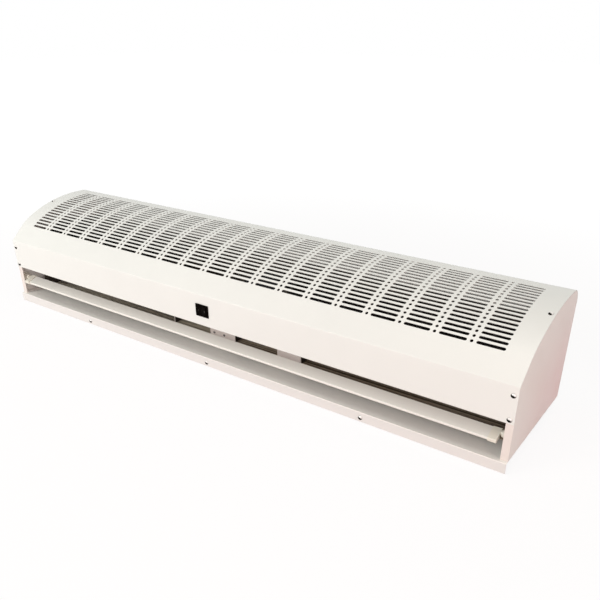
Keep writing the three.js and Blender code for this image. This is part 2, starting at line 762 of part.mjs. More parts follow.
function terminalBox() {
  const outer = box([boxX, boxX + boxLength],
    [boxFront, boxFront + boxDepth], [shelfTop, shelfTop + boxHeight]);
  const inner = box([boxX + boxWall, boxX + boxLength - boxWall],
    [boxFront + boxWall, boxFront + boxDepth - boxWall], [shelfTop + boxWall, shelfTop + 2 * boxHeight]);
  return cut(outer, inner);
}

function terminalBoxLid() {
  const top = shelfTop + boxHeight + gap;
  const inset = (wall, low, high) => box([boxX + wall, boxX + boxLength - wall],
    [boxFront + wall, boxFront + boxDepth - wall], [low, high]);
  const plate = box([boxX - boxWall, boxX + boxLength + boxWall],
    [boxFront, boxFront + boxDepth + boxWall], [top, top + boxWall]);
  const rim = inset(boxWall + gap, top - lidRim, top + boxWall / 2);
  const hollow = inset(2 * boxWall + gap, top - 2 * lidRim, top);
  return cut(join(plate, rim), hollow);
}

function capacitor() {
  const [length, depth, height] = capacitorSize;
  const x = boxX + boxWall + boxMargin;
  const y = boxFront + boxWall + boxMargin;
  const z = shelfTop + boxWall + gap;
  const can = box([x, x + length], [y, y + depth], [z, z + height]);
  const tabs = [-1, 1].map((step) => {
    const middle = x + length / 2 + step * switchTabPitch;
    return box([middle - switchTabWidth / 2, middle + switchTabWidth / 2],
      [y + (depth - tabThickness) / 2, y + (depth + tabThickness) / 2],
      [z + height / 2, z + height + switchTabLength]);
  });
  return join(can, ...tabs);
}

function terminalBlock() {
  const [length, depth, height] = terminalSize;
  const x = boxX + boxLength - boxWall - boxMargin - length;
  const y = boxFront + boxWall + boxMargin;
  const z = shelfTop + boxWall + gap;
  const body = box([x, x + length], [y, y + depth], [z, z + height]);
  const way = length / terminalWays;
  const wells = Array.from({ length: terminalWays }, (_, i) => box(
    [x + way * (i + 0.25), x + way * (i + 0.75)], [y + depth / 4, y + depth * 3 / 4],
    [z + height / 2, z + 2 * height]));
  return cut(body, ...wells);
}

// A rubber sleeve in the base panel where the supply cable enters from the wall side.
function cableGrommet() {
  const inner = grommetRadius - grommetWall;
  const rim = grommetRadius + grommetWall;
  const z = [baseHeight - grommetWall - gap, baseHeight - gap, baseTop + gap, baseTop + gap + grommetWall];
  const profile = [[inner, z[0]], [rim, z[0]], [rim, z[1]], [grommetRadius, z[1]],
    [grommetRadius, z[2]], [rim, z[2]], [rim, z[3]], [inner, z[3]], [inner, z[0]]];
  const points = profile.map(([radius, height]) => new THREE.Vector2(radius, height));
  const geometry = new THREE.LatheGeometry(points, smallSides);
  geometry.rotateX(Math.PI / 2);
  geometry.translate(grommetX, grommetY, 0);
  return toSolid(geometry);
}

// ---------------------------------------------------------------- assembly

const unit = new THREE.Group();

function place(name, solid, finish) {
  const mesh = new THREE.Mesh(toGeometry(solid), new THREE.MeshStandardMaterial(finishes[finish]));
  mesh.name = name;
  unit.add(mesh);
}

const ends = [['left', -1], ['right', 1]];

place('wall_plate', wallPlate(), 'galvanised');
place('base_panel', basePanel(), 'panel');
place('grille_cover', grilleCover(), 'cover');
place('volute', volute(), 'airway');
place('tongue', tongue(), 'airway');

for (const [end, side] of ends) {
  place(`end_plate_${end}`, endPlate(side), 'panel');
  const outerX = side < 0 ? -cheekOuter : cheekOuter - guideSheet;
  place(`cheek_outer_${end}`, cheek(outerX, voluteFrontY, seatRadius + seatHoleClearance), 'airway');
  const bayX = side < 0 ? -bayHalfLength - guideSheet : bayHalfLength;
  place(`cheek_bay_${end}`, cheek(bayX, bayCheekFrontY, shaftHoleRadius), 'panel');
  const [from, to] = side < 0 ? [-impellerOuter, -impellerInner] : [impellerInner, impellerOuter];
  place(`impeller_${end}`, impeller(from, to), 'impeller');
  place(`axle_${end}`, axle(side), 'steel');
  place(`bearing_seat_${end}`, bearingSeat(side), 'rubber');
  place(`bearing_${end}`, bearing(side), 'steel');
  place(`motor_bracket_${end}`, motorBracket(side), 'panel');
  place(`motor_clamp_${end}`, saddleBand(side, 1), 'panel');
  place(`motor_ring_${end}`, motorRing(side), 'rubber');
  place(`vane_cap_${end}`, vaneCap(side), 'cream');
  place(`vane_bush_${end}`, vaneBush(side), 'cream');
}

place('motor_housing', motorHousing(), 'motor');
place('motor_shaft', motorShaft(), 'steel');
place('vane_blade', vaneBlade(), 'panel');
place('switch_housing', switchHousing(), 'black');
place('switch_rocker', switchRocker(), 'black');
place('terminal_box', terminalBox(), 'grey');
place('terminal_box_lid', terminalBoxLid(), 'grey');
place('terminal_block', terminalBlock(), 'cream');
place('capacitor', capacitor(), 'grey');
place('cable_grommet', cableGrommet(), 'rubber');

for (const screw of coverScrews) {
  const end = screw.x < 0 ? 'left' : 'right';
  place(`cover_screw_${screw.name}_${end}`, screwSolid(screw, screwShankRadius, screwHeadHeight), 'steel');
}
['left', 'middle', 'right'].forEach((name, i) => {
  place(`lip_screw_${name}`, screwSolid(lipScrews[i], screwShankRadius, screwHeadHeight), 'steel');
});

// The origin is the middle of the underside of everything, screw heads included.
const frontmost = -lipStandOff - screwHeadHeight;
unit.position.set(0, -(frontmost + bodyDepth) / 2, 0);

export default unit;
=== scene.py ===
# Looks of the air curtain: the cover with its rounded slots, the fans, the vane, the switch,
# the screws, every finish, the light and the camera. Lengths are in millimetres until a mesh is made.
import math

import bmesh
import bpy
from mathutils import Matrix, Vector


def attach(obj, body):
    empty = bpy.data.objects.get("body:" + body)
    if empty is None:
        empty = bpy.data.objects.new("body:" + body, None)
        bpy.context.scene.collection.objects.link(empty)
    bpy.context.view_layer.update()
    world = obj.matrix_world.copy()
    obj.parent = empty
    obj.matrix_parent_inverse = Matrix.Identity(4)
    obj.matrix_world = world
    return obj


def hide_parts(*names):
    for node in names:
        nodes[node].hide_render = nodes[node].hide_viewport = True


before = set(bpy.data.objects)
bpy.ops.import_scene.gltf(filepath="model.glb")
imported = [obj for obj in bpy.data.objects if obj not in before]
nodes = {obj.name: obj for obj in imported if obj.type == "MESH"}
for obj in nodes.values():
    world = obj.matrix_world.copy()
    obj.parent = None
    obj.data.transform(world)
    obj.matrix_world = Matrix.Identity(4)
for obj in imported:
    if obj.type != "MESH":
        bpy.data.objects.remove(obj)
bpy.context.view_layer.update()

MM = 0.001
FRONT_Y = -117.3          # front face of the cover
BASE = 18.0               # underside of the base panel above the wall
HALF = 602.0              # middle of the unit to the outer face of an end plate
INNER_END = 589.7         # middle of the unit to the inward flange of an end plate
SIDES = (("left", -1), ("right", 1))
GAP = 0.3                 # left between pieces that touch
SHEET = 1.0               # cover and airway sheet
ROTOR_Y, ROTOR_Z = 122.0 + FRONT_Y, BASE + 102.0
PIVOT_Y, PIVOT_Z = 14.0 + FRONT_Y, BASE + 39.0
SWITCH_X, SWITCH_Z = -4.0, BASE + 97.5
OUTLET_TOP = BASE + 66.0  # lower edge of the cover
FOLD_Z = OUTLET_TOP + 63.0
SLOPE = math.radians(41.5)
TILT = math.radians(20)   # of the vane at rest


# ---------------------------------------------------------------- camera, light and floor

def photo_camera():
    data = bpy.data.cameras.new("photo_camera")
    data.sensor_width = 36
    data.lens = 39.746
    data.shift_y = 0.1257
    data.clip_start = 0.05
    camera = bpy.data.objects.new("photo_camera", data)
    right = Vector((0.81094782, 0.58508193, -0.00654001))
    down = Vector((0.27577794, -0.39204981, -0.87763516))
    ahead = Vector((-0.51605248, 0.70991272, -0.47928463))
    place = Vector((0.8242, -0.9445, 0.6061))
    rows = [(right[i], -down[i], -ahead[i], place[i]) for i in range(3)]
    camera.matrix_world = Matrix(rows + [(0, 0, 0, 1)])
    bpy.context.collection.objects.link(camera)
    bpy.context.scene.camera = camera


# name, place, target (m), size (m), power (W), colour
LAMPS = (
    ("key", (-1.5, -2.85, 1.92), (-0.2, 0, 0.1), 1.3, 27.5, (1.0, 0.995, 0.985)),
    ("left", (-1.35, -1.6, 0.62), (-0.55, -0.1, 0.08), 0.8, 9.5, (0.97, 1.0, 0.97)),
    ("top", (0.3, -0.2, 2.8), (0.1, 0, 0.1), 2.2, 19.5, (0.98, 1.0, 0.93)),
    ("front", (0.5, -2.6, 0.35), (0.1, 0, 0.06), 1.3, 4, (1.0, 0.62, 0.68)),
    ("near", (1.0, -2.2, 1.25), (0.5, -0.1, 0.08), 0.8, 8.5, (1.0, 0.95, 0.92)),
    ("right", (2.5, -1.3, 1.1), (0.0, 0, 0.08), 1.4, 13.5, (1.0, 0.68, 0.61)),
)
FLOOR_REACH = 9.0
FLOOR_Z = -0.0006


def soft_lamp(name, place, target, size, power, colour):
    data = bpy.data.lights.new(name, "AREA")
    data.shape = "DISK"
    data.size = size
    data.energy = power
    data.color = colour
    lamp = bpy.data.objects.new(name, data)
    lamp.location = place
    lamp.rotation_euler = (Vector(target) - Vector(place)).to_track_quat("-Z", "Y").to_euler()
    bpy.context.collection.objects.link(lamp)


def node(tree, kind, inputs=None, **settings):
    made = tree.nodes.new(kind)
    for key, value in settings.items():
        setattr(made, key, value)
    for key, value in (inputs or {}).items():
        if isinstance(value, bpy.types.NodeSocket):
            tree.links.new(value, made.inputs[key])
        else:
            made.inputs[key].default_value = value
    return made


def mix(tree, share, first, second):
    return node(tree, "ShaderNodeMix", {0: share, 6: first, 7: second}, data_type="RGBA").outputs[2]


def ramp(tree, value, start, end, low=0.0, high=1.0):
    return node(tree, "ShaderNodeMapRange", {"Value": value, "From Min": start, "From Max": end,
                                             "To Min": low, "To Max": high}).outputs[0]


def maths(tree, operation, *values):
    return node(tree, "ShaderNodeMath", dict(enumerate(values)), operation=operation).outputs[0]


def seen_directly(tree):
    """1 for what the camera, a reflection or a clear piece sees, 0 for light that falls on the unit."""
    path = node(tree, "ShaderNodeLightPath").outputs
    seen = maths(tree, "MAXIMUM", path["Is Camera Ray"], path["Is Glossy Ray"])
    return maths(tree, "MAXIMUM", seen, path["Is Transmission Ray"])


def studio():
    world = bpy.data.worlds.new("studio")
    bpy.context.scene.world = world
    world.use_nodes = True
    tree = world.node_tree
    tree.nodes.clear()
    ambient = node(tree, "ShaderNodeBackground", {"Color": (1.0, 0.992, 0.965, 1), "Strength": 0.36})
    white = node(tree, "ShaderNodeBackground", {"Color": (1, 1, 1, 1), "Strength": 1.0})
    mixed = node(tree, "ShaderNodeMixShader",
                 {0: seen_directly(tree), 1: ambient.outputs[0], 2: white.outputs[0]})
    node(tree, "ShaderNodeOutputWorld", {"Surface": mixed.outputs[0]})
    for lamp in LAMPS:
        soft_lamp(*lamp)
    bpy.context.scene.view_settings.view_transform = "Standard"


def floor():
    """White paper that keeps a soft shadow near the unit and turns plain white farther away."""
    mesh = bpy.data.meshes.new("floor")
    corners = [(x * FLOOR_REACH, y * FLOOR_REACH, FLOOR_Z) for x, y in ((-1, -1), (1, -1), (1, 1), (-1, 1))]
    mesh.from_pydata(corners, [], [(0, 1, 2, 3)])
    plane = bpy.data.objects.new("floor", mesh)
    bpy.context.collection.objects.link(plane)
    paper = bpy.data.materials.new("studio_paper")
    paper.use_nodes = True
    tree = paper.node_tree
    tree.nodes.clear()
    matt = node(tree, "ShaderNodeBsdfDiffuse", {"Color": (0.93, 0.86, 0.86, 1)})
    glow = node(tree, "ShaderNodeEmission", {"Color": (1, 1, 1, 1), "Strength": 1.025})
    away = node(tree, "ShaderNodeVectorMath", {0: node(tree, "ShaderNodeTexCoord").outputs["Object"]},
                operation="LENGTH")
    fade = ramp(tree, away.outputs["Value"], 0.75, 1.6, 0.86, 1.0)
    share = maths(tree, "MULTIPLY", seen_directly(tree), fade)
    mixed = node(tree, "ShaderNodeMixShader", {0: share, 1: matt.outputs[0], 2: glow.outputs[0]})
    node(tree, "ShaderNodeOutputMaterial", {"Surface": mixed.outputs[0]})
    mesh.materials.append(paper)


photo_camera()
studio()
floor()


# ---------------------------------------------------------------- shared surface effects

def effect(name, inputs, outputs, build):
    group = bpy.data.node_groups.new(name, "ShaderNodeTree")
    for label, kind, value in inputs:
        socket = group.interface.new_socket(label, in_out="INPUT", socket_type=kind)
        socket.default_value = value
    for label, kind in outputs:
        group.interface.new_socket(label, in_out="OUTPUT", socket_type=kind)
    given = group.nodes.new("NodeGroupInput")
    result = group.nodes.new("NodeGroupOutput")
    for label, socket in build(group, given.outputs).items():
        group.links.new(socket, result.inputs[label])
    return group


def grain_scale(tree, size):
    return maths(tree, "DIVIDE", 1.0, size)


def object_place(tree):
    return node(tree, "ShaderNodeTexCoord").outputs["Object"]


def noise(tree, place, size, **settings):
    inputs = {"Vector": place, "Scale": grain_scale(tree, size), **settings}
    return node(tree, "ShaderNodeTexNoise", inputs).outputs["Fac"]


def drawn_out(tree, share):
    """The object's own place, with the grain drawn out along the unit."""
    return node(tree, "ShaderNodeMapping", {"Vector": object_place(tree),
                                            "Scale": (share, 1.0, 1.0)}).outputs[0]


def orange_peel(tree, given):
    return {"Height": noise(tree, object_place(tree), given["Size"], Detail=3.0, Roughness=0.45)}


def tone_drift(tree, given):
    clouds = noise(tree, object_place(tree), given["Size"], Detail=2.0)
    return {"Colour": mix(tree, ramp(tree, clouds, 0.3, 0.7), given["Light tone"], given["Dark tone"])}


def smudges(tree, given):
    patches = noise(tree, object_place(tree), given["Size"], Detail=5.0, Roughness=0.62)
    return {"Value": ramp(tree, patches, 0.52, 0.74, given["Clean"], given["Marked"])}


def settled_dust(tree, given):
    """Dust on what faces up, in patches."""
    normal = node(tree, "ShaderNodeNewGeometry").outputs["Normal"]
    up = ramp(tree, node(tree, "ShaderNodeSeparateXYZ", {0: normal}).outputs["Z"], 0.2, 1.0)
    motes = noise(tree, object_place(tree), given["Size"], Detail=6.0, Roughness=0.7)
    return {"Mask": maths(tree, "MULTIPLY", maths(tree, "MULTIPLY", up, motes), given["Amount"])}


def zinc_spangle(tree, given):
    crystals = node(tree, "ShaderNodeTexVoronoi", {"Vector": object_place(tree),
                                                   "Scale": grain_scale(tree, given["Size"])})
    shade = node(tree, "ShaderNodeSeparateColor", {0: crystals.outputs["Color"]}).outputs
    return {"Colour": mix(tree, shade[0], given["Light tone"], given["Dark tone"]),
            "Roughness": ramp(tree, shade[1], 0.0, 1.0, 0.32, 0.52)}


def drawn_lines(tree, given):
    return {"Height": noise(tree, drawn_out(tree, 0.04), given["Size"], Detail=4.0)}


def long_streaks(tree, given):
    lines = noise(tree, drawn_out(tree, 0.01), given["Size"], Detail=2.0)
    return {"Mask": ramp(tree, lines, 0.42, 0.58)}


COLOUR, FLOAT = "NodeSocketColor", "NodeSocketFloat"
WHITE4 = (1, 1, 1, 1)
EFFECTS = {
    "orange_peel": effect("orange_peel", [("Size", FLOAT, 0.002)], [("Height", FLOAT)], orange_peel),
    "tone_drift": effect("tone_drift", [("Light tone", COLOUR, WHITE4), ("Dark tone", COLOUR, WHITE4),
                                        ("Size", FLOAT, 0.2)], [("Colour", COLOUR)], tone_drift),
    "smudges": effect("smudges", [("Clean", FLOAT, 0.4), ("Marked", FLOAT, 0.5), ("Size", FLOAT, 0.05)],
                      [("Value", FLOAT)], smudges),
    "settled_dust": effect("settled_dust", [("Amount", FLOAT, 0.2), ("Size", FLOAT, 0.01)],
                           [("Mask", FLOAT)], settled_dust),
    "zinc_spangle": effect("zinc_spangle", [("Light tone", COLOUR, WHITE4), ("Dark tone", COLOUR, WHITE4),
                                            ("Size", FLOAT, 0.01)],
                           [("Colour", COLOUR), ("Roughness", FLOAT)], zinc_spangle),
    "long_streaks": effect("long_streaks", [("Size", FLOAT, 0.006)], [("Mask", FLOAT)], long_streaks),
    "drawn_lines": effect("drawn_lines", [("Size", FLOAT, 0.001)], [("Height", FLOAT)], drawn_lines),
}


# ---------------------------------------------------------------- finishes

def use(tree, name, **inputs):
    placed = node(tree, "ShaderNodeGroup", node_tree=EFFECTS[name])
    for label, value in inputs.items():
        socket = placed.inputs[label.replace("_", " ")]
        if isinstance(value, bpy.types.NodeSocket):
            tree.links.new(value, socket)
        else:
            socket.default_value = value
    return placed.outputs


def rgba(colour, factor=1.0):
    return tuple(channel * factor for channel in colour) + (1.0,)


def new_finish(name, roughness, metallic=0.0, **settings):
    material = bpy.data.materials.new(name)
    material.use_nodes = True
    tree = material.node_tree
    shader = tree.nodes["Principled BSDF"]
    shader.inputs["Roughness"].default_value = roughness
    shader.inputs["Metallic"].default_value = metallic
    for label, value in settings.items():
        shader.inputs[label.replace("_", " ")].default_value = value
    return material, tree, shader


def placed_along(tree):
    return node(tree, "ShaderNodeSeparateXYZ", {0: object_place(tree)}).outputs


def bump(tree, shader, height, distance, strength=1.0):
    made = node(tree, "ShaderNodeBump", {"Height": height, "Distance": distance, "Strength": strength})
    tree.links.new(made.outputs[0], shader.inputs["Normal"])


# where one tone of a finish ends and the next one starts (m)
OUTER_FACE_X = (0.6009, 0.6013)
FRONT_STRIP_Y = (-0.1147, -0.1151)
LIP_TOP_Z = (0.0172, 0.0186)
BAY_FRONT_Y = (-0.0379, -0.0372)
# where the painted shade above meets the painted light below in the airway
LIT_LOWER_TOP_Z = (0.05, 0.09)


def end_plate_tones(tree, coloured, inner_painted_light, rear_painted_shade):
    """The outer face is painted pinker and darker towards its low rear corner, as painted shade; the inner face
    is painted lighter, as painted light.
    """
    place = placed_along(tree)
    outside = ramp(tree, maths(tree, "ABSOLUTE", place["X"]), *OUTER_FACE_X)
    outer = maths(tree, "MAXIMUM", outside, ramp(tree, place["Y"], *FRONT_STRIP_Y))
    back = ramp(tree, place["Y"], -0.11, 0.1)
    foot = ramp(tree, place["Z"], 0.2, 0.08, 0.12)
    coloured = mix(tree, maths(tree, "MULTIPLY", back, foot), coloured, rgba(rear_painted_shade))
    return mix(tree, outer, rgba(inner_painted_light), coloured)


def powder_coat(name, colour, drift=0.97, dust=0.05, roughness=0.36, dust_colour=(0.55, 0.52, 0.47),
                coat=0.12, specular=0.5, lip_painted_shade=None, inner_painted_light=None, rear_painted_shade=(1, 1, 1)):
    material, tree, shader = new_finish(name, roughness, Coat_Weight=coat, Coat_Roughness=0.22,
                                        Specular_IOR_Level=specular)
    tone = use(tree, "tone_drift", Light_tone=rgba(colour), Dark_tone=rgba(colour, drift), Size=0.16)
    motes = use(tree, "settled_dust", Amount=dust, Size=0.006)
    coloured = mix(tree, motes["Mask"], tone["Colour"], rgba(dust_colour))
    if lip_painted_shade:
        # painted shade: the lip below this height takes the darker tone
        rise = ramp(tree, placed_along(tree)["Z"], *LIP_TOP_Z)
        coloured = mix(tree, rise, rgba(lip_painted_shade), coloured)
    if inner_painted_light:
        coloured = end_plate_tones(tree, coloured, inner_painted_light, rear_painted_shade)
    tree.links.new(coloured, shader.inputs["Base Color"])
    marks = use(tree, "smudges", Clean=roughness, Marked=roughness + 0.12, Size=0.07)
    tree.links.new(marks["Value"], shader.inputs["Roughness"])
    bump(tree, shader, use(tree, "orange_peel", Size=0.0022)["Height"], 0.00012, 0.5)
    return material


def zinc_sheet(name, light, dark):
    material, tree, shader = new_finish(name, 0.4, 0.85)
    crystals = use(tree, "zinc_spangle", Light_tone=rgba(light), Dark_tone=rgba(dark), Size=0.009)
    tree.links.new(crystals["Colour"], shader.inputs["Base Color"])
    tree.links.new(crystals["Roughness"], shader.inputs["Roughness"])
    bump(tree, shader, use(tree, "drawn_lines", Size=0.0012)["Height"], 0.00004, 0.4)
    return material


def moulded(name, colour, roughness, drift=0.94, grain=0.0008, depth=0.00004, **settings):
    material, tree, shader = new_finish(name, roughness, **settings)
    tone = use(tree, "tone_drift", Light_tone=rgba(colour), Dark_tone=rgba(colour, drift), Size=0.03)
    tree.links.new(tone["Colour"], shader.inputs["Base Color"])
    marks = use(tree, "smudges", Clean=roughness, Marked=min(roughness + 0.15, 1.0), Size=0.02)
    tree.links.new(marks["Value"], shader.inputs["Roughness"])
    bump(tree, shader, use(tree, "orange_peel", Size=grain)["Height"], depth, 0.6)
    return material


def machined(name, colour, roughness):
    material, tree, shader = new_finish(name, roughness, 1.0)
    tone = use(tree, "tone_drift", Light_tone=rgba(colour), Dark_tone=rgba(colour, 0.8), Size=0.01)
    tree.links.new(tone["Colour"], shader.inputs["Base Color"])
    bump(tree, shader, use(tree, "drawn_lines", Size=0.0006)["Height"], 0.00003, 0.5)
    return material


def airway_sheet():
    """Painted shade above: a dark sheet where the airway lies in shade. Below, a lighter tone with streaks
    along the unit, as painted light, painted lighter still towards the left end.
    """
    material, tree, shader = new_finish("airway_sheet", 0.65, Specular_IOR_Level=0.08)
    # painted shade: the dark tone above stands in for the shade deep inside the airway
    painted_shade = use(tree, "tone_drift", Light_tone=rgba((0.055, 0.043, 0.034)),
                Dark_tone=rgba((0.03, 0.023, 0.018)), Size=0.05)
    motes = use(tree, "settled_dust", Amount=0.25, Size=0.012)
    dark = mix(tree, motes["Mask"], painted_shade["Colour"], rgba((0.12, 0.1, 0.085)))
    place = placed_along(tree)
    rise = ramp(tree, place["Z"], *LIT_LOWER_TOP_Z)
    # painted light: the lighter tone below stands in for light reaching the lower airway
    lit_lower = use(tree, "tone_drift", Light_tone=rgba((0.64, 0.53, 0.41)),
               Dark_tone=rgba((0.5, 0.39, 0.28)), Size=0.1)
    streaks = use(tree, "long_streaks", Size=0.005)
    lined = mix(tree, streaks["Mask"], lit_lower["Colour"], rgba((0.17, 0.125, 0.085)))
    # painted light: lighter towards the left end, where more light falls
    lit_left_end = mix(tree, ramp(tree, place["X"], 0.1, -0.55, 0.0, 0.75), lined, rgba((0.85, 0.8, 0.66)))
    tree.links.new(mix(tree, rise, lit_left_end, dark), shader.inputs["Base Color"])
    tree.links.new(use(tree, "smudges", Clean=0.5, Marked=0.75, Size=0.04)["Value"], shader.inputs["Roughness"])
    bump(tree, shader, use(tree, "orange_peel", Size=0.004)["Height"], 0.0001, 0.4)
    return material


def screw_steel():
    """Plating with painted shade round the rim and on the lower part of the head, standing in for the head's
    shadow.
    """
    material, tree, shader = new_finish("screw_steel", 0.34, 0.45)
    tone = use(tree, "tone_drift", Light_tone=rgba((0.86, 0.84, 0.81)),
               Dark_tone=rgba((0.66, 0.64, 0.61)), Size=0.004)
    # painted shade: the attribute darkens the rim and the lower part of each head, for its shadow
    shaded = node(tree, "ShaderNodeAttribute", attribute_name="painted_shade").outputs["Fac"]
    tree.links.new(mix(tree, shaded, tone["Colour"], rgba((0.012, 0.01, 0.009))), shader.inputs["Base Color"])
    tree.links.new(ramp(tree, shaded, 0.0, 1.0, 0.45, 0.0), shader.inputs["Metallic"])
    tree.links.new(ramp(tree, shaded, 0.0, 1.0, 0.5, 0.04), shader.inputs["Specular IOR Level"])
    bump(tree, shader, use(tree, "drawn_lines", Size=0.0006)["Height"], 0.00003, 0.5)
    return material


def bay_paint():
    """White paint on the front edge and front flange; painted shade behind them, for the shadow in the motor
    bay.
    """
    material, tree, shader = new_finish("motor_bay_paint_and_shade", 0.45, Specular_IOR_Level=0.2)
    light = use(tree, "tone_drift", Light_tone=rgba((0.95, 0.89, 0.85)),
                Dark_tone=rgba((0.9, 0.83, 0.79)), Size=0.05)
    # painted shade: the dark tone behind the front flange
    shaded_behind = use(tree, "tone_drift", Light_tone=rgba((0.07, 0.058, 0.048)),
               Dark_tone=rgba((0.04, 0.033, 0.028)), Size=0.04)
    behind = ramp(tree, placed_along(tree)["Y"], *BAY_FRONT_Y)
    tree.links.new(mix(tree, behind, light["Colour"], shaded_behind["Colour"]), shader.inputs["Base Color"])
    bump(tree, shader, use(tree, "orange_peel", Size=0.0022)["Height"], 0.00012, 0.5)
    return material


IVORY = (0.82, 0.829, 0.795)
FINISH = {
    "cover": powder_coat("cover_coat", IVORY),
    # the end plates share the cover's paint; their pinker tone is a painted cast of the pink light from the
    # right, with painted shade at the low rear and painted light on the inner faces
    "end": powder_coat("end_plate_coat_painted_light", (0.81, 0.74, 0.69), inner_painted_light=(0.96, 0.93, 0.9),
                       rear_painted_shade=(0.78, 0.56, 0.54)),
    # the base panel is painted lighter than the cover's coat, as painted light for the shaded outlet floor; its
    # front lip is painted darker, as painted shade
    "base": powder_coat("base_panel_coat", (0.97, 0.955, 0.91), dust=0.02, lip_painted_shade=(0.76, 0.745, 0.72)),
    "bay": bay_paint(),
    "vane": powder_coat("vane_coat", (0.86, 0.845, 0.79), roughness=0.16, dust=0.04),
    "airway": airway_sheet(),
    # painted shade: a dark coat on the tongue, outer cheeks and motor clamps, which lie in shade
    "shaded_dark_sheet": powder_coat("shaded_dark_coat", (0.12, 0.1, 0.084), drift=0.7, dust=0.12, roughness=0.6,
                              dust_colour=(0.16, 0.14, 0.12), coat=0.0, specular=0.1),
    "wall": zinc_sheet("wall_plate_zinc", (0.66, 0.67, 0.66), (0.5, 0.51, 0.51)),
    "impeller": powder_coat("impeller_coat", (0.015, 0.013, 0.012), drift=0.6, dust=0.15, roughness=0.6,
                            dust_colour=(0.06, 0.055, 0.05), coat=0.0, specular=0.08),
    "steel": machined("shaft_steel", (0.5, 0.5, 0.5), 0.28),
    "screw": screw_steel(),
    "motor": moulded("motor_enamel", (0.022, 0.023, 0.025), 0.55, drift=0.7, grain=0.002, depth=0.0002,
                      Specular_IOR_Level=0.15),
    "core": machined("motor_core_steel", (0.3, 0.3, 0.31), 0.45),
    "rubber": moulded("rubber_mount", (0.02, 0.02, 0.02), 0.75, drift=0.7),
    "cream": moulded("cream_moulding", (0.82, 0.79, 0.69), 0.38),
    "black": moulded("switch_black", (0.0035, 0.0018, 0.0012), 0.55, drift=0.7, Specular_IOR_Level=0.02),
    "mark": moulded("switch_mark", (0.08, 0.075, 0.07), 0.5, Specular_IOR_Level=0.1),
    "box": moulded("terminal_box_black", (0.025, 0.025, 0.026), 0.5, Specular_IOR_Level=0.2),
    "capacitor": moulded("capacitor_grey", (0.42, 0.43, 0.44), 0.4),
}


def finish_nodes(finish, *names):
    for name in names:
        piece = nodes[name]
        if not piece.material_slots:
            piece.data.materials.append(None)
        for slot in piece.material_slots:
            slot.link = "OBJECT"
            slot.material = FINISH[finish]


def round_edges(piece, width):
    edge = piece.modifiers.new("edges", "BEVEL")
    edge.width = width * MM
    edge.segments = 2
    edge.limit_method = "ANGLE"
    edge.angle_limit = math.radians(50)


def soften(*names, width):
    """Rolled or moulded edges on the solids that stay."""
    for name in names:
        round_edges(nodes[name], width)


# ---------------------------------------------------------------- mesh building

def joined_mesh(name, verts, faces, reach, outwards=True):
    """A mesh in metres, in which points closer than the reach are one."""
    mesh = bpy.data.meshes.new(name)
    mesh.from_pydata([(x * MM, y * MM, z * MM) for x, y, z in verts], [], faces)
    work = bmesh.new()
    work.from_mesh(mesh)
    bmesh.ops.remove_doubles(work, verts=work.verts, dist=reach)
    if outwards:
        bmesh.ops.recalc_face_normals(work, faces=work.faces)
    work.to_mesh(mesh)
    work.free()
    return mesh


def make(name, verts, faces, finish, body="housing", stands_for=(), sharp=32, bevel=0.0):
    mesh = joined_mesh(name, verts, faces, 1e-6)
    return finish_piece(name, mesh, finish, body, stands_for, sharp, bevel)


def finish_piece(name, mesh, finish, body="housing", stands_for=(), sharp=32, bevel=0.0):
    mesh.shade_smooth()
    mesh.set_sharp_from_angle(angle=math.radians(sharp))
    mesh.materials.append(FINISH[finish])
    piece = bpy.data.objects.new(name, mesh)
    bpy.context.collection.objects.link(piece)
    if bevel:
        round_edges(piece, bevel)
    weigh = piece.modifiers.new("normals", "WEIGHTED_NORMAL")
    weigh.keep_sharp = True
    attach(piece, body)
    if stands_for:
        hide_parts(*([stands_for] if isinstance(stands_for, str) else stands_for))
    return piece


def join_parts(*parts):
    verts, faces = [], []
    for part_verts, part_faces in parts:
        start = len(verts)
        verts += part_verts
        faces += [tuple(start + i for i in face) for face in part_faces]
    return verts, faces


def moved(part, matrix):
    return [tuple(matrix @ Vector(v)) for v in part[0]], part[1]


def lathe(profile, steps=48):
    """A profile of (along, radius) turned about +Z; a closed one ends where it starts."""
    rings, verts = [], []
    turns = [2 * math.pi * i / steps for i in range(steps)]
    for along, radius in profile:
        if radius < 1e-6:
            rings.append([len(verts)] * steps)
            verts.append((0.0, 0.0, along))
            continue
        rings.append([len(verts) + i for i in range(steps)])
        verts += [(radius * math.cos(turn), radius * math.sin(turn), along) for turn in turns]
    faces = []
    for low, high in zip(rings, rings[1:]):
        for i in range(steps):
            j = (i + 1) % steps
            corners = []
            for corner in (low[i], low[j], high[j], high[i]):
                if corner not in corners:
                    corners.append(corner)
            if len(corners) > 2:
                faces.append(tuple(corners))
    return verts, faces


def along_x(x, y, z, flip=False):
    turn = Matrix.Rotation(math.radians(-90 if flip else 90), 4, "Y")
    return Matrix.Translation((x, y, z)) @ turn


def rounded(points, radius, steps=4, closed=False):
    """Corners of a (y, z) path turned into arcs."""
    result = []
    count = len(points)
    for i, point in enumerate(points):
        if not closed and i in (0, count - 1):
            result.append(point)
            continue
        here = Vector(point)
        before = Vector(points[i - 1]) - here
        after = Vector(points[(i + 1) % count]) - here
        angle = before.angle(after)
        if angle > math.radians(178):
            result.append(point)
            continue
        cutback = min(radius / math.tan(angle / 2), before.length * 0.45, after.length * 0.45)
        first = here + before.normalized() * cutback
        last = here + after.normalized() * cutback
        for step in range(steps + 1):
            t = step / steps
            bend = first * (1 - t) ** 2 + here * 2 * t * (1 - t) + last * t * t
            result.append(tuple(bend))
    return result


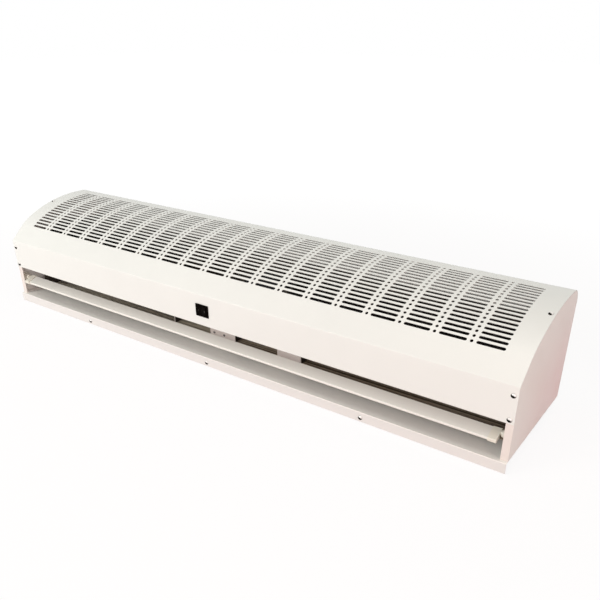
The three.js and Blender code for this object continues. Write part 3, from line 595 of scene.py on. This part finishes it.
def offset(path, distance):
    """The path moved to its right-hand side."""
    result = []
    for i, point in enumerate(path):
        here = Vector(point)
        into = (here - Vector(path[i - 1])).normalized() if i else None
        out = (Vector(path[i + 1]) - here).normalized() if i < len(path) - 1 else None
        into = into or out
        out = out or into
        side = Vector((into.y, -into.x)) + Vector((out.y, -out.x))
        side = side.normalized()
        reach = distance / max(side.dot(Vector((into.y, -into.x))), 0.3)
        result.append(tuple(here + side * reach))
    return result


def prism(outline, x0, x1):
    """A closed (y, z) outline along X."""
    count = len(outline)
    verts = [(x, y, z) for x in (x0, x1) for y, z in outline]
    faces = [(i, (i + 1) % count, count + (i + 1) % count, count + i) for i in range(count)]
    faces.append(tuple(range(count)))
    faces.append(tuple(count + i for i in reversed(range(count))))
    return verts, faces


def strip(path, thickness, x0, x1):
    return prism(list(path) + offset(path, thickness)[::-1], x0, x1)


def block(x, y, z):
    return prism([(y[0], z[0]), (y[1], z[0]), (y[1], z[1]), (y[0], z[1])], x[0], x[1])


# ---------------------------------------------------------------- cover

ROW_PITCH = 9.6
COLUMN_PITCH = 60.0
ROWS, COLUMNS, SHOULDER_ROWS = 18, 19, 3
SLOT_HALF, SLOT_RADIUS, DOT_RADIUS = 22.5, 2.7, 2.7
SLOT_CELL, ROW_HALF = 26.0, ROW_PITCH / 2
SIDE_STEPS = (-ROW_HALF, -1.6, 0.0, 1.6, ROW_HALF)
COVER_RETURN = 9.0        # inward flange along the lower edge
FOLD_RADIUS = 2.5
SLOPE_LENGTH = 44
SHOULDER_RADIUS = 110
REAR_MARGIN, REAR_RADIUS = 15, 28
SWITCH_HOLE_X = (-18.4, 10.4)
SWITCH_HOLE_Z = (SWITCH_Z - 10.9, SWITCH_Z + 10.9)


def ahead_of(point, heading, length):
    return point[0] + length * math.cos(heading), point[1] + length * math.sin(heading)


def cover_profile():
    """The plain path before the crown, the crown's rows and the plain path behind them."""
    lower = rounded([(FRONT_Y + COVER_RETURN, OUTLET_TOP), (FRONT_Y, OUTLET_TOP), (FRONT_Y, OUTLET_TOP + 20)],
                    1.6, 4)[:-1]
    centre = (FRONT_Y + FOLD_RADIUS, FOLD_Z - FOLD_RADIUS * math.tan(math.pi / 4 - SLOPE / 2))
    turn = [math.pi + (SLOPE - math.pi / 2) * i / 5 for i in range(6)]
    fold = [(centre[0] + FOLD_RADIUS * math.cos(a), centre[1] + FOLD_RADIUS * math.sin(a)) for a in turn]
    before = lower + [(FRONT_Y, z) for z in SWITCH_HOLE_Z] + fold
    before += [ahead_of(fold[-1], SLOPE, SLOPE_LENGTH * share) for share in (0.25, 0.5, 0.75, 1.0)]
    shoulder = ROW_PITCH / SHOULDER_RADIUS
    level = (SLOPE - shoulder * SHOULDER_ROWS) / (ROWS - SHOULDER_ROWS)
    rows, heading, point = [], SLOPE, before[-1]
    for row in range(ROWS):
        heading -= shoulder if row < SHOULDER_ROWS else level
        end = ahead_of(point, heading, ROW_PITCH)
        rows.append((point, end))
        point = end
    corner_y, corner_z = point[0] + REAR_MARGIN, point[1] - REAR_RADIUS
    behind = [point]
    for i in range(11):
        angle = math.pi / 2 * (1 - i / 10)
        behind.append((corner_y + REAR_RADIUS * math.cos(angle), corner_z + REAR_RADIUS * math.sin(angle)))
    behind += [(corner_y + REAR_RADIUS, 120.0), (corner_y + REAR_RADIUS, BASE + SHEET + GAP)]
    return before, rows, behind


def hole_loop(straight, radius, side, steps):
    """Matching loops of (x, v) round the hole and round its cell, counter-clockwise from the lower right."""
    hole, cell = [], []
    reach = side - straight
    quarter = [math.atan2(v, reach) for v in SIDE_STEPS if v >= 0] + [math.radians(a) for a in steps]
    right = [-a for a in reversed(quarter)][:-1] + quarter
    for turn, sign in ((right, 1), (right, -1)):
        for angle in turn:
            x, v = math.cos(angle), math.sin(angle)
            hole.append((sign * (straight + radius * x), sign * radius * v))
            scale = min(reach / x if x > 1e-9 else 1e9, ROW_HALF / abs(v) if abs(v) > 1e-9 else 1e9)
            cell.append((sign * (straight + scale * x), sign * scale * v))
        if sign > 0 and straight:
            for x in (SWITCH_HOLE_X[1], SWITCH_HOLE_X[0]):
                hole.append((x, radius))
                cell.append((x, ROW_HALF))
        if sign < 0 and straight:
            for x in SWITCH_HOLE_X:
                hole.append((x, -radius))
                cell.append((x, -ROW_HALF))
    return hole, cell


def slot_loops():
    return hole_loop(SLOT_HALF - SLOT_RADIUS, SLOT_RADIUS, SLOT_CELL, (60, 90))


def dot_loops():
    return hole_loop(0.0, DOT_RADIUS, COLUMN_PITCH / 2 - SLOT_CELL, (70, 90))


def column_middles():
    return [(column - (COLUMNS - 1) / 2) * COLUMN_PITCH for column in range(COLUMNS)]


def edge_places():
    """Where the corners of the cells lie along a row, so that the plain bands meet them."""
    along = {round(x, 4) for x, v in slot_loops()[1] if abs(abs(v) - ROW_HALF) < 1e-6}
    between = {round(x, 4) for x, v in dot_loops()[1] if abs(abs(v) - ROW_HALF) < 1e-6}
    places = {-HALF, -INNER_END, INNER_END, HALF}
    for middle in column_middles():
        places |= {round(middle + x, 4) for x in along}
    for middle in column_middles()[:-1]:
        places |= {round(middle + COLUMN_PITCH / 2 + x, 4) for x in between}
    return sorted(places)


def perforated_row(start, end, verts, faces):
    heading = math.atan2(end[1] - start[1], end[0] - start[0])

    def corner(x, v):
        y, z = ahead_of(start, heading, v + ROW_HALF)
        verts.append((x, y, z))
        return len(verts) - 1

    def cell(middle, loops):
        hole = [corner(middle + x, v) for x, v in loops[0]]
        rim = [corner(middle + x, v) for x, v in loops[1]]
        for i in range(len(hole)):
            j = (i + 1) % len(hole)
            faces.append((rim[i], rim[j], hole[j], hole[i]))

    slot, dot = slot_loops(), dot_loops()
    for column, middle in enumerate(column_middles()):
        cell(middle, slot)
        if column < COLUMNS - 1:
            cell(middle + COLUMN_PITCH / 2, dot)
    edge = (COLUMNS - 1) / 2 * COLUMN_PITCH + SLOT_CELL
    for x0, x1 in ((-HALF, -INNER_END), (-INNER_END, -edge), (edge, INNER_END), (INNER_END, HALF)):
        for low, high in zip(SIDE_STEPS, SIDE_STEPS[1:]):
            faces.append((corner(x0, low), corner(x1, low), corner(x1, high), corner(x0, high)))


def plain_bands(path, places, verts, faces, flange=0):
    for i, (low, high) in enumerate(zip(path, path[1:])):
        for x0, x1 in zip(places, places[1:]):
            if i < flange and abs(x0 + x1) / 2 > INNER_END:
                continue
            if (low[0] == high[0] == FRONT_Y and low[1] == SWITCH_HOLE_Z[0]
                    and x0 >= SWITCH_HOLE_X[0] and x1 <= SWITCH_HOLE_X[1]):
                continue
            start = len(verts)
            verts.extend([(x0, *low), (x1, *low), (x1, *high), (x0, *high)])
            faces.append((start, start + 1, start + 2, start + 3))


def grille_cover():
    before, rows, behind = cover_profile()
    places = edge_places()
    verts, faces = [], []
    plain_bands(before, places, verts, faces, flange=1)
    for start, end in rows:
        perforated_row(start, end, verts, faces)
    plain_bands(behind, places, verts, faces)
    carrier = bpy.data.objects.new("cover_skin", joined_mesh("cover_skin", verts, faces, 2e-6, outwards=False))
    bpy.context.collection.objects.link(carrier)
    thick = carrier.modifiers.new("sheet", "SOLIDIFY")
    thick.thickness = SHEET * MM
    thick.offset = -1
    thick.use_even_offset = True
    solid = bpy.data.meshes.new_from_object(carrier.evaluated_get(bpy.context.evaluated_depsgraph_get()))
    bpy.data.objects.remove(carrier)
    solid.name = "perforated_cover"
    finish_piece("perforated_cover", solid, "cover", stands_for="grille_cover", sharp=40)


# ---------------------------------------------------------------- fans and motor

IMPELLER_ENDS = (180.0, 564.1)
SECTIONS, BLADES = 4, 34
DISC_RADIUS, RING_INNER, DISC_HALF = 57.6, 42.0, 0.7
HUB_RADIUS, HUB_BORE, HUB_LENGTH = 13, 6.4, 20
BLADE_TIP, BLADE_DEPTH, BLADE_SHEET = 57.2, 13.5, 0.8
DRIVE_HALF = 200          # middle of the unit to the ends of the motor shaft
AXLE_ENDS = (544.1, 597.2)
BEARING_X = 588.2
MOTOR_X = 2
RUBBER_RING_X = (("left", 2.0), ("right", 106.0))


def impeller(name, side):
    low, high = IMPELLER_ENDS if side > 0 else (-IMPELLER_ENDS[1], -IMPELLER_ENDS[0])
    parts = []
    length = (high - low) / SECTIONS
    for index in range(SECTIONS + 1):
        x = min(max(low + index * length, low + DISC_HALF), high - DISC_HALF)
        inner = HUB_BORE if index in (0, SECTIONS) else RING_INNER
        profile = [(-DISC_HALF, inner), (-DISC_HALF, DISC_RADIUS), (DISC_HALF, DISC_RADIUS), (DISC_HALF, inner),
                   (-DISC_HALF, inner)]
        parts.append(moved(lathe(profile, 72), along_x(x, ROTOR_Y, ROTOR_Z)))
    hub = [(0, HUB_BORE), (0, HUB_RADIUS), (HUB_LENGTH, HUB_RADIUS), (HUB_LENGTH, HUB_BORE), (0, HUB_BORE)]
    for x in (low, high - HUB_LENGTH):
        parts.append(moved(lathe(hub, 40), along_x(x, ROTOR_Y, ROTOR_Z)))
    for blade in range(BLADES):
        turn = 2 * math.pi * blade / BLADES
        curve = []
        for step in range(5):
            t = step / 4
            radius = BLADE_TIP - BLADE_DEPTH * t
            angle = turn + math.radians(15) * t ** 1.7
            curve.append((ROTOR_Y + radius * math.cos(angle), ROTOR_Z + radius * math.sin(angle)))
        parts.append(strip(curve, BLADE_SHEET, low + 0.8, high - 0.8))
    verts, faces = join_parts(*parts)
    make(f"fan_{name}", verts, faces, "impeller", "rotor", f"impeller_{name}", sharp=30)


def shafts():
    length = 2 * DRIVE_HALF
    profile = [(0, 0), (0, 5.4), (0.6, 6), (length - 0.6, 6), (length, 5.4), (length, 0)]
    verts, faces = moved(lathe(profile), along_x(-DRIVE_HALF, ROTOR_Y, ROTOR_Z))
    make("drive_shaft", verts, faces, "steel", "rotor", "motor_shaft")
    start, end = AXLE_ENDS
    reach = end - start
    profile = [(0, 0), (0, 6), (reach - 0.6, 6), (reach, 5.4), (reach, 0)]
    for name, side in SIDES:
        verts, faces = moved(lathe(profile), along_x(side * start, ROTOR_Y, ROTOR_Z, side < 0))
        make(f"end_axle_{name}", verts, faces, "steel", "rotor", f"axle_{name}")


def bearings():
    race = [(0, 6.3), (0, 8.6), (0.8, 9), (0.8, 13), (0, 13.4), (0, 15.6), (0.4, 16), (9.6, 16), (10, 15.6),
            (10, 13.4), (9.2, 13), (9.2, 9), (10, 8.6), (10, 6.3), (0, 6.3)]
    cup = [(0, 16.3), (0, 23.4), (0.6, 24), (9.4, 26), (10.3, 33.6), (10.7, 34), (12.3, 34), (12.3, 0),
           (10.3, 0), (10.3, 16.3), (0, 16.3)]
    for name, side in SIDES:
        seat = along_x(side * BEARING_X, ROTOR_Y, ROTOR_Z, side < 0)
        verts, faces = moved(lathe(race), seat)
        make(f"ball_race_{name}", verts, faces, "steel", "housing", f"bearing_{name}")
        verts, faces = moved(lathe(cup), seat)
        make(f"rubber_seat_{name}", verts, faces, "rubber", "housing", f"bearing_seat_{name}")


def motor():
    """Two end bells with the ridged core between them, tie bolts and the rubber rings on the bosses."""
    boss, length, bore = 9.0, 94.0, 7.0
    bell = [(0, bore), (0, 15), (1, 16), (boss, 16), (boss + 1, 20), (boss + 3, 28), (boss + 7, 36),
            (boss + 12, 41), (boss + 18, 43.4), (boss + 24, 43.8)]
    core = [(boss + 24, 44)] + [(boss + 24 + 0.5 + i * 0.92, 43.7 - 0.35 * (i % 2)) for i in range(49)]
    core.append((boss + 70, 44))
    mirror = [(2 * boss + length - along, radius) for along, radius in reversed(bell)]
    verts, faces = moved(lathe(bell + core + mirror + [bell[0]], 72), along_x(MOTOR_X, ROTOR_Y, ROTOR_Z))
    make("motor_body", verts, faces, "motor", "housing", "motor_housing")
    bolts = []
    head = [(0, 0), (0, 3.4), (3, 3.4), (3, 0)]
    for i in range(4):
        angle = math.radians(45 + 90 * i)
        y, z = ROTOR_Y + 37 * math.cos(angle), ROTOR_Z + 37 * math.sin(angle)
        bolts.append(moved(lathe(head, 6), along_x(MOTOR_X + boss + 5.2, y, z)))
        bolts.append(moved(lathe(head, 6), along_x(MOTOR_X + boss + length - 8.2, y, z)))
    verts, faces = join_parts(*bolts)
    make("motor_tie_bolts", verts, faces, "core", "housing", (), bevel=0.3)
    ring = [(0, 16.3), (0, 22.6), (0.7, 23.3), (2.6, 23.3), (3.2, 22.5), (4.8, 22.5), (5.4, 23.3), (7.3, 23.3),
            (8, 22.6), (8, 16.3), (0, 16.3)]
    for name, x in RUBBER_RING_X:
        verts, faces = moved(lathe(ring), along_x(x, ROTOR_Y, ROTOR_Z))
        make(f"rubber_ring_{name}", verts, faces, "rubber", "housing", f"motor_ring_{name}")


# ---------------------------------------------------------------- airway

SCROLL_HALF = 589.4
SCROLL_RADIUS = 66.0      # where the spiral starts
SCROLL_REAR_Y = 122.0
SCROLL_FRONT = 54         # behind the front face


def spiral(steps):
    floor_z = BASE + SHEET + GAP
    start = math.radians(35)
    end_radius = ROTOR_Z - floor_z - 1.0
    rate = math.log(end_radius / SCROLL_RADIUS) / (start + math.pi / 2)
    points = []
    for i in range(steps + 1):
        angle = start - (start + math.pi / 2) * i / steps
        radius = SCROLL_RADIUS * math.exp(rate * (start - angle))
        points.append((ROTOR_Y + radius * math.cos(angle), ROTOR_Z + radius * math.sin(angle)))
    return points


def scroll():
    curve = spiral(36)
    path = [(SCROLL_REAR_Y, curve[0][1]), *curve, (SCROLL_FRONT + FRONT_Y, curve[-1][1])]
    verts, faces = strip(path[::-1], SHEET, -SCROLL_HALF, SCROLL_HALF)
    make("fan_scroll", verts, faces, "airway", "housing", "volute", sharp=40)


# ---------------------------------------------------------------- vane

VANE_HALF = 574.5
BUSH_ENDS = (584.0, 600.5)


def on_vane(along, across):
    return (PIVOT_Y + along * math.cos(TILT) - across * math.sin(TILT),
            PIVOT_Z + along * math.sin(TILT) + across * math.cos(TILT))


def vane():
    bent = rounded([(6.5, 0.6), (-17.0, 0.6), (-17.0, -4.0)], 1.6, 5)
    outline = bent + offset(bent, -1.4)[::-1]
    verts, faces = prism([on_vane(*p) for p in outline], -VANE_HALF, VANE_HALF)
    make("vane_strip", verts, faces, "vane", "vane", "vane_blade", sharp=50)
    inner, outer = BUSH_ENDS
    flange = outer - inner
    bush = [(0, 3.3), (0, 5.4), (0.6, 6), (flange - 3, 6), (flange - 2.7, 8.4), (flange - 2.1, 9), (flange, 9),
            (flange, 0), (flange - 8, 0), (flange - 8, 3.3), (0, 3.3)]
    for name, side in SIDES:
        verts, faces = moved(lathe(bush), along_x(side * inner, PIVOT_Y, PIVOT_Z, side < 0))
        make(f"pivot_bush_{name}", verts, faces, "cream", "housing", f"vane_bush_{name}")


# ---------------------------------------------------------------- switch

def rounded_frame(half_x, half_z, radius, steps=5):
    points = [(-half_x, -half_z), (half_x, -half_z), (half_x, half_z), (-half_x, half_z)]
    return rounded(points, radius, steps, closed=True)


def frame_solid(outer, inner, rings):
    """Rings of (y, shrink, which outline), joined in turn, with the first and the last one closed."""
    verts, faces = [], []
    count = len(outer)
    loops = []
    for y, shrink, shape in rings:
        loops.append(len(verts))
        for x, z in (outer if shape == "outer" else inner):
            size = Vector((x, z))
            pulled = size - size.normalized() * shrink
            verts.append((SWITCH_X + pulled.x, y + FRONT_Y, SWITCH_Z + pulled.y))
    for low, high in zip(loops, loops[1:]):
        for i in range(count):
            j = (i + 1) % count
            faces.append((low + i, low + j, high + j, high + i))
    faces.append(tuple(loops[0] + i for i in range(count)))
    faces.append(tuple(loops[-1] + i for i in range(count)))
    return verts, faces


def rocker_switch():
    outer = rounded_frame(15.9, 12.4, 1.5)
    inner = rounded_frame(12.1, 9.4, 0.8)
    rings = [(-0.3, 1.9, "outer"), (-0.3, 0, "outer"), (-1.2, 0, "outer"), (-1.6, 0.5, "outer"),
             (-1.6, 0.0, "inner"), (19.5, 0.0, "inner")]
    verts, faces = frame_solid(outer, inner, rings)
    body = frame_solid(rounded_frame(14.1, 10.6, 1.0), inner,
                       [(22.0, 0, "outer"), (-0.2, 0, "outer"), (-0.2, 0, "inner"), (19.6, 0, "inner")])
    tabs = [block((SWITCH_X + i * 8 - 0.4, SWITCH_X + i * 8 + 0.4), (FRONT_Y + 21, FRONT_Y + 28.3),
                  (SWITCH_Z - 2.4, SWITCH_Z + 2.4)) for i in (-1, 0, 1)]
    verts, faces = join_parts((verts, faces), body, *tabs)
    make("switch_frame", verts, faces, "black", "housing", "switch_housing", sharp=40)
    half, proud, depth = 11.1, -2.6, 1.3
    front = []
    for i in range(17):
        t = -1 + i / 8
        dish = depth * (1 - abs(t)) ** 1.6
        front.append((t * (half - 0.6), proud + dish))
    outline = [(-half, proud + 0.8)] + front + [(half, proud + 0.8), (half - 1.6, 4.0), (3, 9), (-3, 9),
                                                  (-half + 1.6, 4.0)]
    lying, faces = prism(outline, SWITCH_Z - 8.4, SWITCH_Z + 8.4)
    verts = [(SWITCH_X + x, y + FRONT_Y, z) for z, x, y in lying]
    pin = moved(lathe([(0, 0), (0, 1.5), (19, 1.5), (19, 0)], 24),
                Matrix.Translation((SWITCH_X, 4 + FRONT_Y, SWITCH_Z - 9.5)))
    verts, faces = join_parts((verts, faces), pin)
    make("switch_paddle", verts, faces, "black", "rocker", "switch_rocker", sharp=35, bevel=0.25)
    switch_marks(proud, depth, half)


def switch_marks(proud, depth, half):
    """Plain position marks: a ring for off in the middle, one bar and two bars for the speeds."""
    def surface(x):
        t = min(abs(x) / (half - 0.6), 1.0)
        return proud + depth * (1 - t) ** 1.6 + FRONT_Y

    def bar(x, z, width, height):
        y = surface(x)
        return block((SWITCH_X + x - width / 2, SWITCH_X + x + width / 2), (y - 0.06, y + 0.3),
                     (SWITCH_Z + z - height / 2, SWITCH_Z + z + height / 2))

    middle = Matrix.Translation((SWITCH_X, surface(0), SWITCH_Z))
    ring = moved(lathe([(-0.06, 1.3), (-0.06, 1.8), (0.3, 1.8), (0.3, 1.3), (-0.06, 1.3)], 32),
                 middle @ Matrix.Rotation(math.radians(-90), 4, "X"))
    verts, faces = join_parts(ring, bar(-7.4, 0, 0.6, 3.6), bar(6.8, 0, 0.6, 3.6), bar(8.0, 0, 0.6, 3.6))
    make("switch_print", verts, faces, "mark", "rocker", ())


# ---------------------------------------------------------------- screws and small pieces

def pan_head(radius, height, shank, reach):
    """A domed head with a cross recess, facing +Z."""
    shares = (0, 0.12, 0.25, 0.4, 0.55, 0.7, 0.82, 0.91, 0.97, 1.0)
    dome = [(height * (1 - t ** 2.4), radius * t) for t in shares]
    verts, faces = lathe(dome + [(0, shank), (-reach, shank * 0.9), (-reach, 0)], 40)
    cross = []
    for x, y, z in verts:
        arm, away = sorted((abs(x), abs(y)))
        if z > height * 0.25 and arm < radius * 0.15 and away < radius * 0.58:
            z -= height * 0.6 * (1 - away / (radius * 0.66))
        cross.append((x, y, z))
    return cross, faces


def head_shade(piece, places, radius, lit_share):
    """Painted shade on the rim of each head and on its lower part, as seen from the side that it faces."""
    layer = piece.data.attributes.new("painted_shade", "FLOAT", "POINT")
    # the way from which the painted shade falls across each head
    shaded_way = Vector((-0.35, -0.3, -0.9))
    heads = [(matrix.inverted(), matrix) for matrix in places]
    for vertex in piece.data.vertices:
        point = vertex.co / MM
        inverse, matrix = min(heads, key=lambda pair: (point - pair[1].translation).length)
        local = inverse @ point
        down = (inverse.to_3x3() @ shaded_way).to_2d().normalized()
        low = local.to_2d().dot(down) / radius
        away = local.to_2d().length / radius
        # painted contact shade round the rim of the head
        rim = min(max((away - 0.9) / 0.1, 0.0), 0.5)
        layer.data[vertex.index].value = max(rim, min(max((low - lit_share) / 0.25, 0.0), 1.0))


def facing(direction, place):
    turn = Vector((0, 0, 1)).rotation_difference(Vector(direction)).to_matrix().to_4x4()
    return Matrix.Translation(place) @ turn


HEAD_RADIUS, HEAD_HEIGHT = 4.2, 2.2
FOOT_HEAD_RADIUS, FOOT_HEAD_HEIGHT = 2.6, 1.6
SCREW_X = 594.5           # middle of the unit to the cover screws
LIP_SCREW_SPACING = 350.0
CROWN_SCREW_ROW = 9


def screw(name, place, way, node_name, lit_share=-0.05):
    matrix = facing(way, place)
    verts, faces = moved(pan_head(HEAD_RADIUS, HEAD_HEIGHT, 1.6, 4.8), matrix)
    piece = make(name, verts, faces, "screw", "housing", node_name)
    head_shade(piece, [matrix], HEAD_RADIUS, lit_share)


def screws():
    row_start, row_end = cover_profile()[1][CROWN_SCREW_ROW]
    heading = math.atan2(row_end[1] - row_start[1], row_end[0] - row_start[0])
    crown = (0, -math.sin(heading), math.cos(heading))
    ahead = (0, -1, 0)
    for name, side in SIDES:
        x = side * SCREW_X
        # how far each head stays lit before the painted shade begins
        share = -0.3 if side > 0 else -0.7
        screw(f"screw_lower_{name}", (x, FRONT_Y, OUTLET_TOP + 7), ahead, f"cover_screw_lower_{name}", share)
        screw(f"screw_upper_{name}", (x, FRONT_Y, FOLD_Z - 15.5), ahead, f"cover_screw_upper_{name}", share)
        screw(f"screw_crown_{name}", (x, *row_end), crown, f"cover_screw_crown_{name}", 0.1)
    for name, x in (("left", -LIP_SCREW_SPACING), ("middle", 0.0), ("right", LIP_SCREW_SPACING)):
        screw(f"screw_lip_{name}", (x, FRONT_Y - 4, BASE - 10), ahead, f"lip_screw_{name}", -0.35)
    feet = [facing(ahead, (x, -39.3, 28.5)) for x in (-52.0, -25.0)]
    verts, faces = join_parts(*[moved(pan_head(FOOT_HEAD_RADIUS, FOOT_HEAD_HEIGHT, 1.2, 1.5), matrix)
                                for matrix in feet])
    piece = make("bracket_screws", verts, faces, "screw", "housing", ())
    head_shade(piece, feet, FOOT_HEAD_RADIUS, -0.7)


def grommet():
    profile = [(-2.3, 6.6), (-2.7, 7.0), (-2.7, 11), (-2.3, 11.4), (-0.7, 11.4), (-0.3, 11), (-0.3, 9),
               (1.5, 9), (1.5, 11), (1.9, 11.4), (3.5, 11.4), (3.9, 11), (3.9, 7), (3.5, 6.6), (-2.3, 6.6)]
    verts, faces = moved(lathe(profile), Matrix.Translation((-120, 200 + FRONT_Y, BASE)))
    make("cable_sleeve", verts, faces, "rubber", "housing", "cable_grommet")


grille_cover()
for end in SIDES:
    impeller(*end)
shafts()
bearings()
motor()
scroll()
vane()
rocker_switch()
screws()
grommet()

finish_nodes("end", "end_plate_left", "end_plate_right")
finish_nodes("base", "base_panel")
finish_nodes("wall", "wall_plate")
finish_nodes("shaded_dark_sheet", "tongue", "cheek_outer_left", "cheek_outer_right")
finish_nodes("bay", "cheek_bay_left", "cheek_bay_right", "motor_bracket_left", "motor_bracket_right")
# the motor clamps take the dark coat as painted shade
finish_nodes("shaded_dark_sheet", "motor_clamp_left", "motor_clamp_right")
finish_nodes("cream", "vane_cap_left", "vane_cap_right", "terminal_block")
finish_nodes("box", "terminal_box", "terminal_box_lid")
finish_nodes("capacitor", "capacitor")
soften("end_plate_left", "end_plate_right", "base_panel", "wall_plate", width=0.4)
soften("motor_bracket_left", "motor_bracket_right", "motor_clamp_left", "motor_clamp_right", width=0.3)
soften("vane_cap_left", "vane_cap_right", width=0.5)
soften("terminal_box", "terminal_box_lid", "capacitor", "terminal_block", width=0.4)
